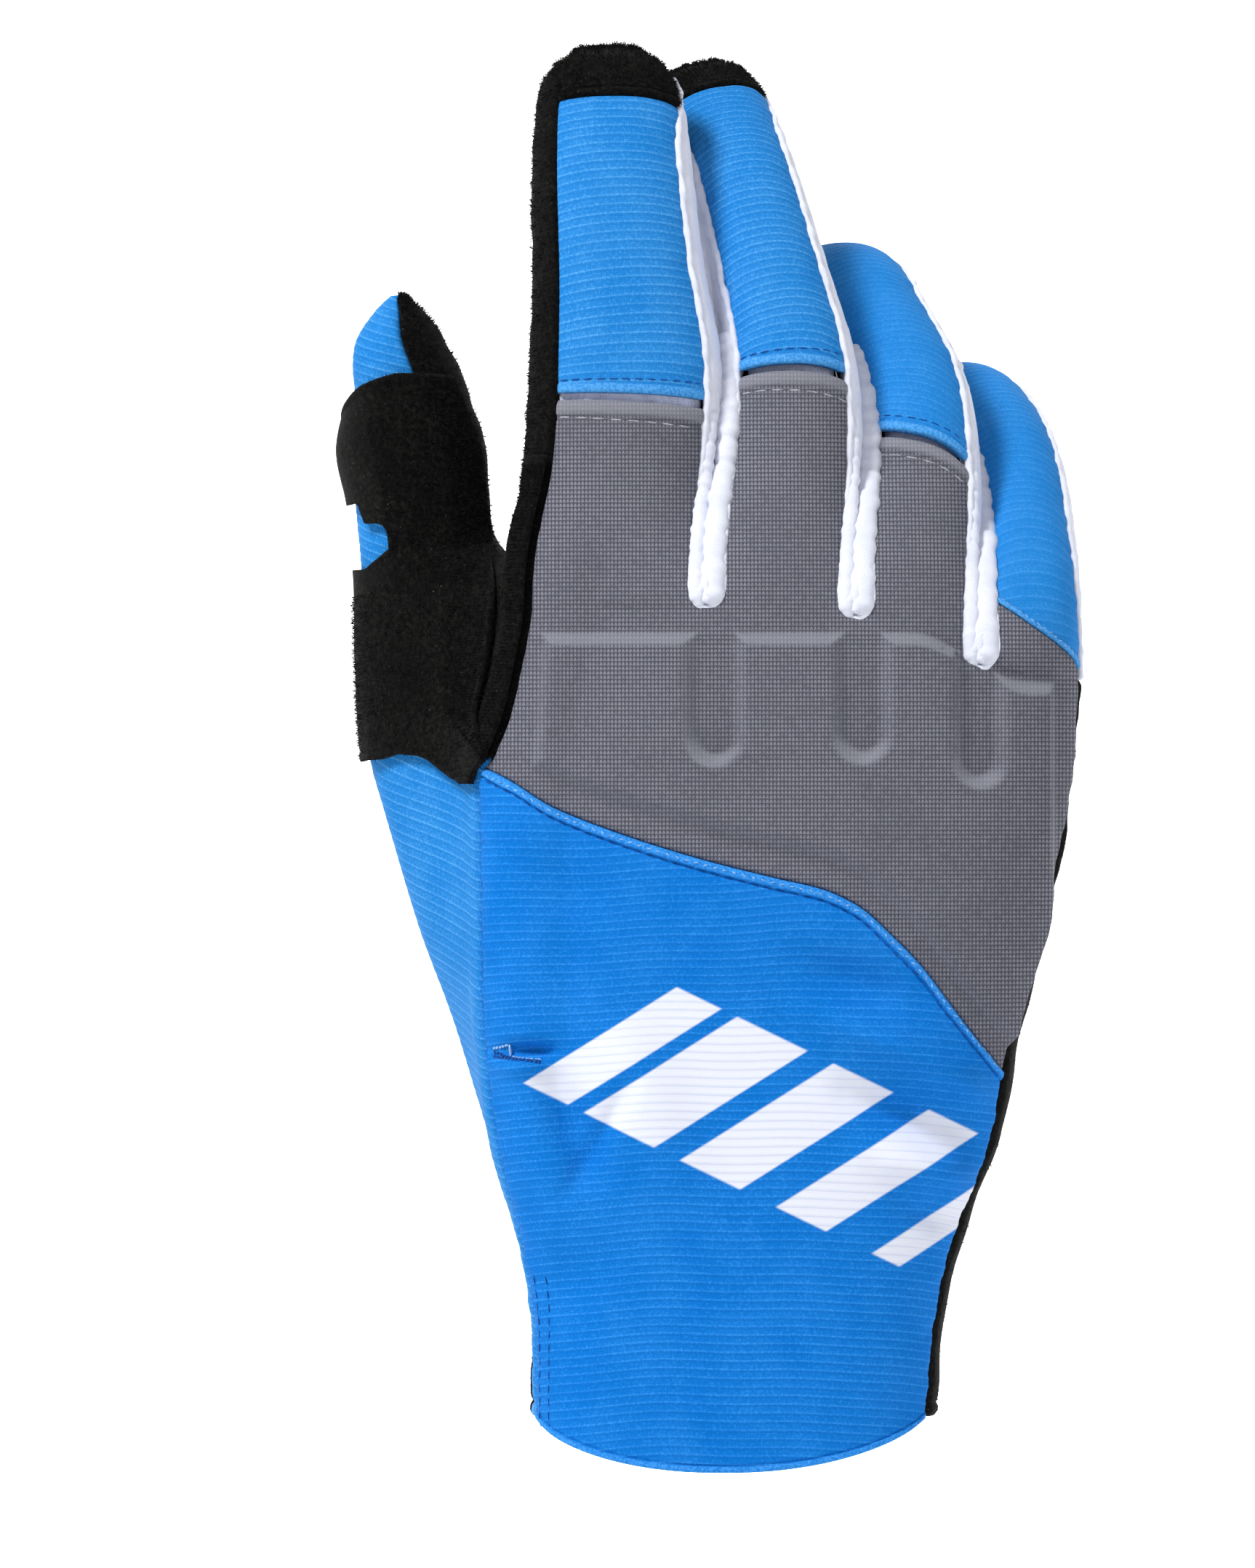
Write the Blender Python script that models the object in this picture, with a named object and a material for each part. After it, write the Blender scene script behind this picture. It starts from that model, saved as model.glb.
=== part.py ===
"""A right-hand motocross glove as it stands when worn: cuff down, fingers up, back of the hand to -Y.

The glove is a set of cloth panels. Together they form one skin round an invisible hand, and each panel is cut
from that skin along its seams, given its own wall and kept a seam gap away from its neighbours. The origin is
the centre of the wrist opening. X points to the little finger's side, Y to the palm's side and Z up.
"""

import math

import bmesh
import bpy
import numpy as np
from mathutils import kdtree

MM = 0.001

# Driving sizes
PALM_LENGTH = 131.8 * MM      # wrist opening to the fork between index and middle finger
PALM_DEPTH = 36.0 * MM        # back to palm at the knuckles
CUFF_DIP = 8.6 * MM           # how far the hem hangs lower at the middle of the back
INDEX_WIDTH = 32.5 * MM       # finger widths where the fingers leave the palm
MIDDLE_WIDTH = 23.5 * MM
RING_WIDTH = 19.5 * MM
PINKY_WIDTH = 16.8 * MM
FINGER_DEPTH = 23.0 * MM
FINGER_SPACING = 0.8 * MM     # free space between neighbouring finger sides
INDEX_LENGTH = 96.0 * MM      # finger lengths from the fork to the tip
MIDDLE_LENGTH = 100.0 * MM
RING_LENGTH = 96.0 * MM
PINKY_LENGTH = 82.0 * MM
THUMB_LENGTH = 164.0 * MM     # from the heel of the thumb, near the wrist, to its tip
THUMB_WIDTH = 24.0 * MM
THUMB_DEPTH = 23.0 * MM
WALL = 1.2 * MM               # cloth and suede
SEAM_GAP = 0.36 * MM          # between panels that are sewn edge to edge
LAYER_GAP = 0.55 * MM         # between panels that lie on each other
PATCH_WALL = 1.0 * MM         # the thumb patch and the edge binding
GUSSET_WALL = 0.8 * MM
THUMB_STRIP_WIDTH = 4.0 * MM  # the thumb's blue panel where it runs down to the hem
POINT_WIDTH = 3.0 * MM        # how far above its sharp lower end a panel starts
BINDING_WIDTH = 4.6 * MM
VENT_OVERLAP = 3.6 * MM       # how far a flex gusset reaches under the panels beside its vent
VENT_HEIGHT = 1.4 * MM
PAD_RISE = 1.3 * MM           # moulded knuckle pads
FORK_HALF_WIDTH = 2.6 * MM    # white channel between two grey lobes
FORK_ROUNDING = 3.0 * MM
PALM_FORK_RISE = 8.0 * MM     # the forks lie higher on the palm's side
WEB_RISE = 6.0 * MM
BLEND_HEIGHT = 24.0 * MM      # over which a finger frees itself from the palm's shape
THUMB_BLEND_HEIGHT = 14.0 * MM

# Mesh fineness
BACK_COLUMNS = 4              # per finger
CUFF_COLUMNS = 14
SIDE_COLUMNS = 2
FRONT_COLUMNS = 4
THUMB_COLUMN_COUNT = 6
ROW_HEIGHT = 5.6 * MM
PAD_ROW_HEIGHT = 4.0 * MM
LEVEL_STEP = 2.0 * MM
OUTLINE_POINTS = 720
OUTLINE_SMOOTHING = 13
STRIP_POINTS = 61
SEAM_REACH = 2.9 * MM
SEAM_NEIGHBOURS = 14
LINE_SMOOTHING = 9
WEB_OVALS = 9
WEB_WAIST = 0.30
SLAB_POWER = 2.5              # how square the palm's sections are
TUBE_POWER = 2.2              # and those of fingers and thumb

FINGERS = ("index", "middle", "ring", "pinky")
WIDTHS = {"index": INDEX_WIDTH, "middle": MIDDLE_WIDTH, "ring": RING_WIDTH, "pinky": PINKY_WIDTH}
LENGTHS = {"index": INDEX_LENGTH, "middle": MIDDLE_LENGTH, "ring": RING_LENGTH, "pinky": PINKY_LENGTH}
KNUCKLE_WIDTH = sum(WIDTHS.values()) + 3 * FINGER_SPACING

# The palm's cross-sections: height as a share of PALM_LENGTH, left and right edge as shares of
# KNUCKLE_WIDTH, back and palm surface as shares of PALM_DEPTH, and the back panels' left and right seam
# as shares of the half width.
PALM_COLUMNS = ("up", "left", "right", "back", "front", "left_seam", "right_seam")
PALM_ROWS = (
    (-0.08, -0.350, 0.340, -0.555, 0.545, -0.985, 0.945),
    (0.09, -0.351, 0.357, -0.545, 0.540, -0.985, 0.955),
    (0.19, -0.368, 0.383, -0.535, 0.535, -0.985, 0.955),
    (0.34, -0.426, 0.457, -0.540, 0.530, -0.970, 0.965),
    (0.49, -0.455, 0.503, -0.545, 0.525, -0.965, 0.950),
    (0.62, -0.464, 0.546, -0.540, 0.515, -0.955, 0.975),
    (0.79, -0.466, 0.590, -0.520, 0.500, -0.960, 0.990),
    (0.82, -0.462, 0.594, -0.515, 0.495, -0.915, 0.990),
    (0.87, -0.445, 0.597, -0.500, 0.490, -0.895, 0.990),
    (0.95, -0.414, 0.602, -0.460, 0.470, -0.905, 0.990),
    (1.00, -0.397, 0.604, -0.430, 0.450, -0.915, 0.990),
    (1.20, -0.380, 0.590, -0.340, 0.370, -0.900, 0.990),
    (1.50, -0.370, 0.560, -0.300, 0.330, -0.900, 0.990),
)

# The thumb's cross-sections: height as a share of THUMB_LENGTH above its heel, how far its middle lies left
# of the palm's edge and its half width as shares of THUMB_WIDTH, how far back it lies and its half depth
# as shares of THUMB_DEPTH.
THUMB_HEEL_UP = 0.15          # share of PALM_LENGTH
THUMB_COLUMNS = ("up", "out", "deep", "half_width", "half_depth")
THUMB_ROWS = (
    (0.00, -0.75, 0.30, 0.50, 0.45),
    (0.12, -0.62, 0.42, 0.58, 0.52),
    (0.25, -0.47, 0.56, 0.57, 0.56),
    (0.37, -0.21, 0.70, 0.56, 0.57),
    (0.52, 0.12, 0.84, 0.53, 0.56),
    (0.61, 0.34, 0.92, 0.51, 0.54),
    (0.68, 0.50, 0.96, 0.49, 0.52),
    (0.79, 0.63, 1.00, 0.465, 0.48),
    (0.84, 0.69, 1.02, 0.490, 0.48),
    (0.90, 0.73, 1.03, 0.400, 0.44),
    (0.93, 0.78, 1.04, 0.367, 0.40),
    (0.957, 0.82, 1.04, 0.305, 0.36),
    (0.986, 0.83, 1.03, 0.170, 0.27),
    (1.00, 0.84, 1.02, 0.065, 0.20),
)
THUMB_BACK_SEAMS = (20.0, -125.0)   # degrees round the thumb from the side that faces -Y
THUMB_NECK_SEAMS = (60.0, 140.0)    # the same for the bottom of the thumb's fork
PALM_NECK = 222.0                   # degrees round the palm where the web starts on its palm side
# Where the thumb's outer seam starts to swing out and how long it swings, and the lower ends of the thumb's
# front and of the web, as shares of PALM_LENGTH
THUMB_SWING_UP = 0.12
THUMB_SEAM_SWING = 0.33
THUMB_FRONT_END_UP = 11 / 24
WEB_END_UP = 0.805
# The thumb patch: its sides and its notch's depth, counted round the thumb with the blue back as 1 and the web
# as 1 more, and the heights of its edges and its notch as shares of PALM_LENGTH.
PATCH_AROUND = (1 / 6, 1.96)
PATCH_EDGE_AROUND = (0.1, 0.6, 1.2, 2.0)
PATCH_BOTTOM_UP = (0.812, 0.820, 0.795, 0.825)
PATCH_TOP_UP = (1.262, 1.285, 1.292, 1.285)
PATCH_NOTCH_AROUND = 4 / 6
PATCH_NOTCH_UP = (1.056, 1.133)
BINDING_UP = (0.825, 1.185)         # ends of the edge strip, as shares of PALM_LENGTH

# Each finger's sections: how far along it is, where its middle lies to the right, to the palm's side and up,
# all as shares of the finger's length, then its half width as a share of its width and its half depth as a
# share of FINGER_DEPTH.
FINGER_COLUMNS = ("along", "right", "deep", "up", "half_width", "half_depth")
FINGER_ROWS = {
    "index": (
        (-0.15, 0.000, 0.000, -0.150, 0.510, 0.56),
        (0.00, 0.003, 0.010, 0.000, 0.500, 0.52),
        (0.22, 0.021, 0.020, 0.210, 0.485, 0.48),
        (0.40, 0.034, 0.040, 0.380, 0.484, 0.47),
        (0.60, 0.020, 0.085, 0.575, 0.428, 0.46),
        (0.80, 0.009, 0.150, 0.765, 0.397, 0.43),
        (0.92, 0.006, 0.200, 0.880, 0.360, 0.34),
        (0.97, 0.005, 0.222, 0.932, 0.290, 0.23),
        (1.00, 0.004, 0.236, 0.964, 0.170, 0.065),
    ),
    "middle": (
        (-0.15, 0.000, 0.010, -0.150, 0.505, 0.56),
        (0.00, 0.003, 0.015, 0.000, 0.500, 0.52),
        (0.22, 0.013, 0.045, 0.215, 0.492, 0.50),
        (0.36, 0.019, 0.085, 0.350, 0.470, 0.49),
        (0.56, -0.021, 0.165, 0.535, 0.425, 0.47),
        (0.74, -0.062, 0.265, 0.690, 0.405, 0.44),
        (0.90, -0.103, 0.375, 0.810, 0.400, 0.36),
        (0.97, -0.125, 0.425, 0.868, 0.345, 0.24),
        (1.00, -0.144, 0.450, 0.905, 0.220, 0.065),
    ),
    "ring": (
        (-0.15, 0.000, 0.015, -0.150, 0.510, 0.56),
        (0.00, 0.000, 0.025, 0.000, 0.500, 0.52),
        (0.20, 0.008, 0.055, 0.180, 0.500, 0.50),
        (0.38, 0.000, 0.115, 0.350, 0.495, 0.48),
        (0.55, -0.060, 0.215, 0.480, 0.485, 0.46),
        (0.72, -0.105, 0.350, 0.560, 0.480, 0.44),
        (0.88, -0.160, 0.500, 0.565, 0.440, 0.38),
        (0.97, -0.198, 0.585, 0.530, 0.360, 0.24),
        (1.00, -0.208, 0.608, 0.508, 0.250, 0.065),
    ),
    "pinky": (
        (-0.15, 0.000, 0.010, -0.150, 0.500, 0.54),
        (0.00, 0.000, 0.020, 0.000, 0.500, 0.50),
        (0.20, -0.006, 0.060, 0.190, 0.480, 0.47),
        (0.40, -0.026, 0.140, 0.365, 0.495, 0.44),
        (0.56, -0.065, 0.240, 0.465, 0.510, 0.42),
        (0.72, -0.120, 0.375, 0.525, 0.500, 0.40),
        (0.88, -0.180, 0.500, 0.510, 0.450, 0.34),
        (0.97, -0.222, 0.580, 0.470, 0.370, 0.22),
        (1.00, -0.236, 0.605, 0.450, 0.270, 0.065),
    ),
}

# Seams round each finger, in degrees from the middle of its back, right side positive: the back panel's left
# and right edge, then where the white sides meet the palm.
BACK_SEAMS = {"index": (-43.0, 58.0), "middle": (-50.0, 57.0), "ring": (-48.0, 55.0), "pinky": (-52.0, 58.0)}
FRONT_SEAM = 126.0
INDEX_NECK_SEAMS = (215.0, 285.0)   # the index finger's stretch along the thumb's fork
TIP_JOIN = 0.95                     # share along a finger where its sides end and back and front meet

# Heights of the forks and of the little finger's outer seam, as shares of PALM_LENGTH
FORK_UP = {"outer_left": 1.0, "index": 1.0, "middle": 0.987, "ring": 0.926, "pinky": 0.912}

# Along each finger, as shares of its length: top of the grey lobe, and start of the black tip cap
LOBE_TOP = {"index": 0.355, "middle": 0.368, "ring": 0.298, "pinky": 0.12}
PINKY_LOBE_RIGHT = 0.15             # the little finger's lobe at its right side, as a share of its left side
VENTED = ("index", "middle", "ring")
CAP_START = {"index": 0.888, "middle": 0.915}

# The slanting seam between cuff and knuckle panel: across as a share of KNUCKLE_WIDTH, up of PALM_LENGTH
SLANT_SEAM = (
    (-0.460, 0.812), (-0.388, 0.786), (-0.314, 0.754), (-0.201, 0.722), (-0.064, 0.691), (0.061, 0.668),
    (0.149, 0.653), (0.211, 0.632), (0.268, 0.596), (0.323, 0.555), (0.374, 0.506), (0.418, 0.465),
    (0.470, 0.420),
)

# Folds of the cuff panel: a crest or dent between two points, across as shares of KNUCKLE_WIDTH and up as
# shares of PALM_LENGTH, with its half width as a share of PALM_DEPTH and its rise as a share of WALL.
FOLD_COLUMNS = ("x0", "z0", "x1", "z1", "half_width", "rise")
FOLD_ROWS = (
    (-0.44, 0.450, -0.32, 0.455, 0.045, -0.9),
    (-0.33, 0.440, -0.26, 0.300, 0.120, -1.0),
    (-0.22, 0.500, -0.10, 0.330, 0.150, 0.6),
    (0.24, 0.470, 0.44, 0.400, 0.090, 0.9),
    (0.20, 0.400, 0.42, 0.340, 0.080, -0.8),
    (0.24, 0.330, 0.44, 0.290, 0.090, 0.8),
    (0.12, 0.560, 0.30, 0.520, 0.110, -0.7),
)

# The knuckle pads: a raised field inside this outline, with round-ended grooves from its top edge. Across is
# a share of KNUCKLE_WIDTH, up of PALM_LENGTH and the groove's half width a share of PALM_DEPTH.
PAD_TOP = 0.972
PAD_LEFT = -0.335
PAD_RIGHT = 0.555
PAD_BOTTOM_MARGIN = 5.5 * MM
PAD_BEVEL = 3.2 * MM
GROOVES = ((-0.035, 0.842, 0.075), (0.217, 0.845, 0.070), (0.415, 0.812, 0.055))

MATERIALS = {
    "blue_rib_knit": ((0.006, 0.212, 0.723), 0.75),
    "grey_knit": ((0.130, 0.133, 0.163), 0.8),
    "black_suede": ((0.010, 0.010, 0.010), 0.95),
    "white_stretch": ((0.72, 0.74, 0.82), 0.7),
    "gusset_mesh": ((0.20, 0.22, 0.27), 0.8),
}
FINISH = {
    "blue_rib_knit": ("cuff_back", "index_back", "middle_back", "ring_back", "pinky_back", "thumb_back"),
    "grey_knit": ("knuckle_panel",),
    "white_stretch": (
        "fourchette_index_middle", "fourchette_middle_ring", "fourchette_ring_pinky", "pinky_side_strip",
    ),
    "gusset_mesh": ("index_flex_gusset", "middle_flex_gusset", "ring_flex_gusset"),
    "black_suede": (
        "palm", "index_front", "middle_front", "ring_front", "pinky_front", "index_tip_cap", "middle_tip_cap",
        "thumb_front", "thumb_patch", "side_binding",
    ),
}


def smooth_rows(rows, columns, at_column):
    """A function that reads a table's columns between its rows along a monotone cubic curve."""
    data = np.array(rows, float)
    at = data[:, columns.index(at_column)]
    step = np.diff(at)
    curves = {}
    for number, column in enumerate(columns):
        value = data[:, number]
        slope = np.diff(value) / step
        tangent = np.zeros(len(at))
        tangent[0], tangent[-1] = slope[0], slope[-1]
        same = slope[:-1] * slope[1:] > 0
        mean = 2 * slope[:-1] * slope[1:] / np.where(same, slope[:-1] + slope[1:], 1)
        tangent[1:-1] = np.where(same, mean, 0)
        curves[column] = (value, tangent)

    def read(column, where):
        where = np.clip(where, at[0], at[-1])
        k = np.clip(np.searchsorted(at, where) - 1, 0, len(at) - 2)
        t = (where - at[k]) / step[k]
        value, tangent = curves[column]
        return (
            (2 * t**3 - 3 * t**2 + 1) * value[k]
            + (t**3 - 2 * t**2 + t) * step[k] * tangent[k]
            + (3 * t**2 - 2 * t**3) * value[k + 1]
            + (t**3 - t**2) * step[k] * tangent[k + 1]
        )

    return read


def ease(t):
    """0 to 1 along a smooth step."""
    t = np.clip(t, 0, 1)
    return t * t * (3 - 2 * t)


def mix(a, b, share):
    return a + (b - a) * share


palm_row = smooth_rows(PALM_ROWS, PALM_COLUMNS, "up")
thumb_row = smooth_rows(THUMB_ROWS, THUMB_COLUMNS, "up")
finger_row = {name: smooth_rows(rows, FINGER_COLUMNS, "along") for name, rows in FINGER_ROWS.items()}
slant_row = smooth_rows(SLANT_SEAM, ("x", "z"), "x")


def palm_section(z):
    """Middle, half width and half depth of the palm's level section, and its seams' places across."""
    up = z / PALM_LENGTH
    left, right = (palm_row(side, up) * KNUCKLE_WIDTH for side in ("left", "right"))
    back, front = (palm_row(side, up) * PALM_DEPTH for side in ("back", "front"))
    middle, half = (left + right) / 2, (right - left) / 2
    return {
        "x": middle, "y": (back + front) / 2, "a": half, "b": (front - back) / 2, "left": left,
        "left_seam": middle + palm_row("left_seam", up) * half,
        "right_seam": middle + palm_row("right_seam", up) * half,
    }


def thumb_section(z):
    """Middle, half width and half depth of the thumb's level section."""
    up = np.clip((z - THUMB_HEEL_UP * PALM_LENGTH) / THUMB_LENGTH, 0, 1)
    closed = WALL + SEAM_GAP / 2
    return {
        "x": palm_section(z)["left"] - thumb_row("out", up) * THUMB_WIDTH,
        "y": thumb_row("deep", up) * THUMB_DEPTH,
        "a": np.maximum(thumb_row("half_width", up) * THUMB_WIDTH, closed),
        "b": np.maximum(thumb_row("half_depth", up) * THUMB_DEPTH, closed),
    }


def oval_point(section, degrees, power):
    """A point of a level section, by its angle from the side that faces -Y, right side positive."""
    sine, cosine = np.sin(np.radians(degrees)), np.cos(np.radians(degrees))
    x = section["x"] + section["a"] * np.sign(sine) * np.abs(sine) ** (2 / power)
    y = section["y"] - section["b"] * np.sign(cosine) * np.abs(cosine) ** (2 / power)
    return x, y


def within(oval, points, power):
    """Which points lie inside an oval given by its middle and half sizes."""
    x, y, a, b = oval
    return np.abs((points[:, 0] - x) / a) ** power + np.abs((points[:, 1] - y) / b) ** power < 1


def level_strips(z):
    """The glove's level outline at height z, cut at the seams into strips of evenly spaced points."""
    palm, thumb = palm_section(z), thumb_section(z)
    up = z / PALM_LENGTH
    slab = np.array([palm["x"], palm["y"], palm["a"], palm["b"]])
    start = np.array([palm["left"] + 0.80 * palm["b"], palm["y"], 0.76 * palm["b"], 0.84 * palm["b"]])
    end = np.array([thumb["x"], thumb["y"], thumb["a"], thumb["b"]])
    # A row of ovals between palm and thumb makes the web, with a waist towards the fork
    shares = np.linspace(0, 1, WEB_OVALS)
    web = mix(start, end, shares[:, None])
    web[:, 2:] *= 1 - WEB_WAIST * (np.sin(math.pi * shares) * ease((up - 0.55) / 0.4))[:, None]
    turn = np.linspace(0, 2 * math.pi, OUTLINE_POINTS, endpoint=False)
    way = np.stack([np.sin(turn), -np.cos(turn)], 1)
    low, high = np.zeros(OUTLINE_POINTS), np.full(OUTLINE_POINTS, 2 * KNUCKLE_WIDTH)
    for _ in range(24):
        radius = (low + high) / 2
        points = start[:2] + way * radius[:, None]
        inside = within(slab, points, SLAB_POWER)
        for oval in web:
            inside |= within(oval, points, TUBE_POWER)
        low, high = np.where(inside, radius, low), np.where(inside, high, radius)
    kernel = np.hanning(2 * OUTLINE_SMOOTHING + 3)[1:-1]
    radius = np.convolve(np.pad(low, OUTLINE_SMOOTHING, mode="wrap"), kernel / kernel.sum(), "valid")
    outline = start[:2] + way * radius[:, None]
    walk = np.concatenate([[0], np.cumsum(np.linalg.norm(np.diff(outline, axis=0), axis=1))])
    total = walk[-1] + np.linalg.norm(outline[0] - outline[-1])

    def nearest(x, y):
        return walk[np.argmin(np.hypot(outline[:, 0] - x, outline[:, 1] - y))]

    # The back runs from the outline's last quarter over its start to its first quarter
    quarter = OUTLINE_POINTS // 4
    back = np.roll(outline, quarter, axis=0)[: 2 * quarter]
    back_walk = np.roll(np.where(turn > math.pi, walk - total, walk), quarter)[: 2 * quarter]
    cuff_left = total + np.interp(palm["left_seam"], back[:, 0], back_walk)
    cuff_right = np.interp(palm["right_seam"], back[:, 0], back_walk)
    side_front = nearest(*oval_point(palm, FRONT_SEAM, SLAB_POWER))
    neck_front = nearest(*oval_point(palm, PALM_NECK, SLAB_POWER))
    front_seam, back_seam = THUMB_BACK_SEAMS
    blue_outer = nearest(*oval_point(thumb, back_seam, TUBE_POWER))
    blue_inner = nearest(*oval_point(thumb, front_seam, TUBE_POWER))
    blue_outer = mix(cuff_left - THUMB_STRIP_WIDTH, blue_outer, ease((up - THUMB_SWING_UP) / THUMB_SEAM_SWING))
    opened = ease((up - WEB_END_UP) / 0.07)
    blue_inner = mix(cuff_left, min(blue_inner, cuff_left), opened)
    neck_back = mix(blue_inner, cuff_left, 0.55)
    neck_front = min(neck_front, blue_outer)
    neck_front = mix(blue_outer, neck_front, ease((up - THUMB_FRONT_END_UP) / 0.2))
    ends = {
        "back": (cuff_left - total, cuff_right), "right": (cuff_right, side_front),
        "palm": (side_front, neck_front), "thumb_front": (neck_front, blue_outer),
        "thumb_back": (blue_outer, blue_inner), "web": (blue_inner, neck_back),
        "edge": (neck_back, cuff_left),
    }
    closed_walk = np.concatenate([walk - total, walk, walk + total])
    closed = np.concatenate([outline, outline, outline])
    strips = {}
    for name, (first, last) in ends.items():
        along = np.linspace(first, last, STRIP_POINTS)
        strips[name] = np.stack([np.interp(along, closed_walk, closed[:, k]) for k in (0, 1)], 1)
    return strips


PALM_ROW_COUNT = round(PALM_LENGTH / ROW_HEIGHT)
LEVELS = np.arange(-CUFF_DIP - LEVEL_STEP, PALM_LENGTH + PALM_FORK_RISE + 2 * LEVEL_STEP, LEVEL_STEP)
LEVEL_STRIPS = [level_strips(z) for z in LEVELS]
STRIPS = {name: np.array([level[name] for level in LEVEL_STRIPS]) for name in LEVEL_STRIPS[0]}


def palm_point(strip, share, z):
    """A point of the palm's skin: strip is a seam-to-seam stretch, and share runs along it from 0 to 1."""
    share, z = np.broadcast_arrays(np.asarray(share, float), np.asarray(z, float))
    grid = STRIPS[strip]
    row = np.clip((z - LEVELS[0]) / LEVEL_STEP, 0, len(LEVELS) - 1.001)
    column = np.clip(share, 0, 1) * (STRIP_POINTS - 1.001)
    r, c = row.astype(int), column.astype(int)
    tr, tc = (row - r)[..., None], (column - c)[..., None]
    flat = mix(mix(grid[r, c], grid[r, c + 1], tc), mix(grid[r + 1, c], grid[r + 1, c + 1], tc), tr)
    return np.concatenate([flat, z[..., None]], -1)


def fork_share(strip, x, z):
    """Where on a strip the skin passes x at height z."""
    shares = np.linspace(0, 1, 201)
    line = palm_point(strip, shares, z)[:, 0]
    order = np.argsort(line)
    return float(np.interp(x, line[order], shares[order]))


def finger_bases():
    """The middle of each finger where it leaves the palm."""
    left = palm_section(PALM_LENGTH)["left"]
    ups = (1.0, 1.0, FORK_UP["middle"], FORK_UP["ring"])
    bases = {}
    for name, up in zip(FINGERS, ups):
        bases[name] = np.array([left + WIDTHS[name] / 2, 0.0, up * PALM_LENGTH])
        left += WIDTHS[name] + FINGER_SPACING
    return bases


BASES = finger_bases()
FORK_X = {
    name: (BASES[name][0] + WIDTHS[name] / 2 + BASES[after][0] - WIDTHS[after] / 2) / 2
    for name, after in zip(FINGERS, FINGERS[1:])
}
FORK_NAMES = tuple(FORK_X)
BACK_FORKS = [0.0] + [fork_share("back", FORK_X[n], FORK_UP[n] * PALM_LENGTH) for n in FORK_NAMES] + [1.0]
PALM_FORKS = [0.0] + [
    fork_share("palm", FORK_X[n], FORK_UP[n] * PALM_LENGTH + PALM_FORK_RISE) for n in FORK_NAMES[::-1]
] + [1.0]
BACK_FORK_UPS = [FORK_UP[n] for n in ("outer_left", "index", "middle", "ring", "pinky")]


def back_top(share):
    """Height where the back strip ends and the fingers begin."""
    return np.interp(share, BACK_FORKS, np.array(BACK_FORK_UPS) * PALM_LENGTH)


def palm_top(share):
    """Height where the palm strip ends and the fingers begin."""
    rise = np.array([0, 1, 1, 1, 0]) * PALM_FORK_RISE
    return np.interp(share, PALM_FORKS, np.array(BACK_FORK_UPS[::-1]) * PALM_LENGTH + rise)


STATIONS = np.linspace(-0.15, 1, 93)


def finger_line(name):
    """Middle points, half widths and half depths of a finger at STATIONS."""
    read, length = finger_row[name], LENGTHS[name]
    offset = np.stack([read(column, STATIONS) for column in ("right", "deep", "up")], 1) * length
    half_width = read("half_width", STATIONS) * WIDTHS[name]
    # The tip closes to the two walls that are sewn together there
    half_depth = np.maximum(read("half_depth", STATIONS) * FINGER_DEPTH, WALL + SEAM_GAP / 2)
    return [BASES[name] + offset, half_width, half_depth]


def clear_of(line, neighbour):
    """Moves a finger to the palm's side wherever it would touch the finger before it."""
    middles, widths, depths = line
    others, other_widths, other_depths = neighbour
    kernel = np.exp(-np.linspace(-2, 2, 25) ** 2)
    kernel /= kernel.sum()
    free = STATIONS > 0.02
    for _ in range(80):
        apart = middles[:, None, :] - others[None, free, :]
        distance = np.linalg.norm(apart, axis=2)
        sideways = np.clip(np.abs(apart[..., 0]) / np.maximum(distance, 1e-9), 0, 1)
        reach = mix(depths[:, None], widths[:, None], sideways)
        other_reach = mix(other_depths[free][None, :], other_widths[free][None, :], sideways)
        lack = (reach + other_reach + FINGER_SPACING - distance).max(1)
        lack = np.where(free, np.clip(lack, 0, None), 0)
        if lack.max() < 0.05 * MM:
            break
        push = np.maximum.accumulate(np.convolve(np.pad(lack, 12, mode="edge"), kernel, "valid"))
        middles[:, 1] += 0.6 * push * ease(STATIONS / 0.25)
    return [middles, widths, depths]


def smoothed(values):
    """Values along a finger without kinks, with both ends kept."""
    reach = LINE_SMOOTHING
    start = 2 * values[0] - values[reach:0:-1]
    end = 2 * values[-1] - values[-2 : -reach - 2 : -1]
    kernel = np.hanning(2 * reach + 3)[1:-1]
    return np.convolve(np.concatenate([start, values, end]), kernel / kernel.sum(), "valid")


def all_finger_lines():
    """Each finger's line, one after the other so that none touches the one before it."""
    lines = {}
    for number, name in enumerate(FINGERS):
        lines[name] = finger_line(name)
        if number:
            lines[name] = clear_of(lines[name], lines[FINGERS[number - 1]])
        lines[name][0] = np.stack([smoothed(lines[name][0][:, k]) for k in range(3)], 1)
    return lines


LINES = all_finger_lines()


def tube_point(name, along, degrees):
    """A point of a free finger's skin, by its share along the finger and its angle from the back."""
    along, degrees = np.broadcast_arrays(np.asarray(along, float), np.asarray(degrees, float))
    middles, widths, depths = LINES[name]
    at = np.clip(along, STATIONS[0], STATIONS[-1])
    middle = np.stack([np.interp(at, STATIONS, middles[:, k]) for k in range(3)], -1)
    slopes = np.gradient(middles, STATIONS, axis=0)
    tangent = np.stack([np.interp(at, STATIONS, slopes[:, k]) for k in range(3)], -1)
    tangent /= np.linalg.norm(tangent, axis=-1, keepdims=True)
    right = np.array([1.0, 0, 0]) - tangent * tangent[..., :1]
    right /= np.linalg.norm(right, axis=-1, keepdims=True)
    outward = np.cross(right, tangent)
    sine, cosine = np.sin(np.radians(degrees)), np.cos(np.radians(degrees))
    across = np.interp(at, STATIONS, widths) * np.sign(sine) * np.abs(sine) ** (2 / TUBE_POWER)
    out = np.interp(at, STATIONS, depths) * np.sign(cosine) * np.abs(cosine) ** (2 / TUBE_POWER)
    return middle + right * across[..., None] + outward * out[..., None]


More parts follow.
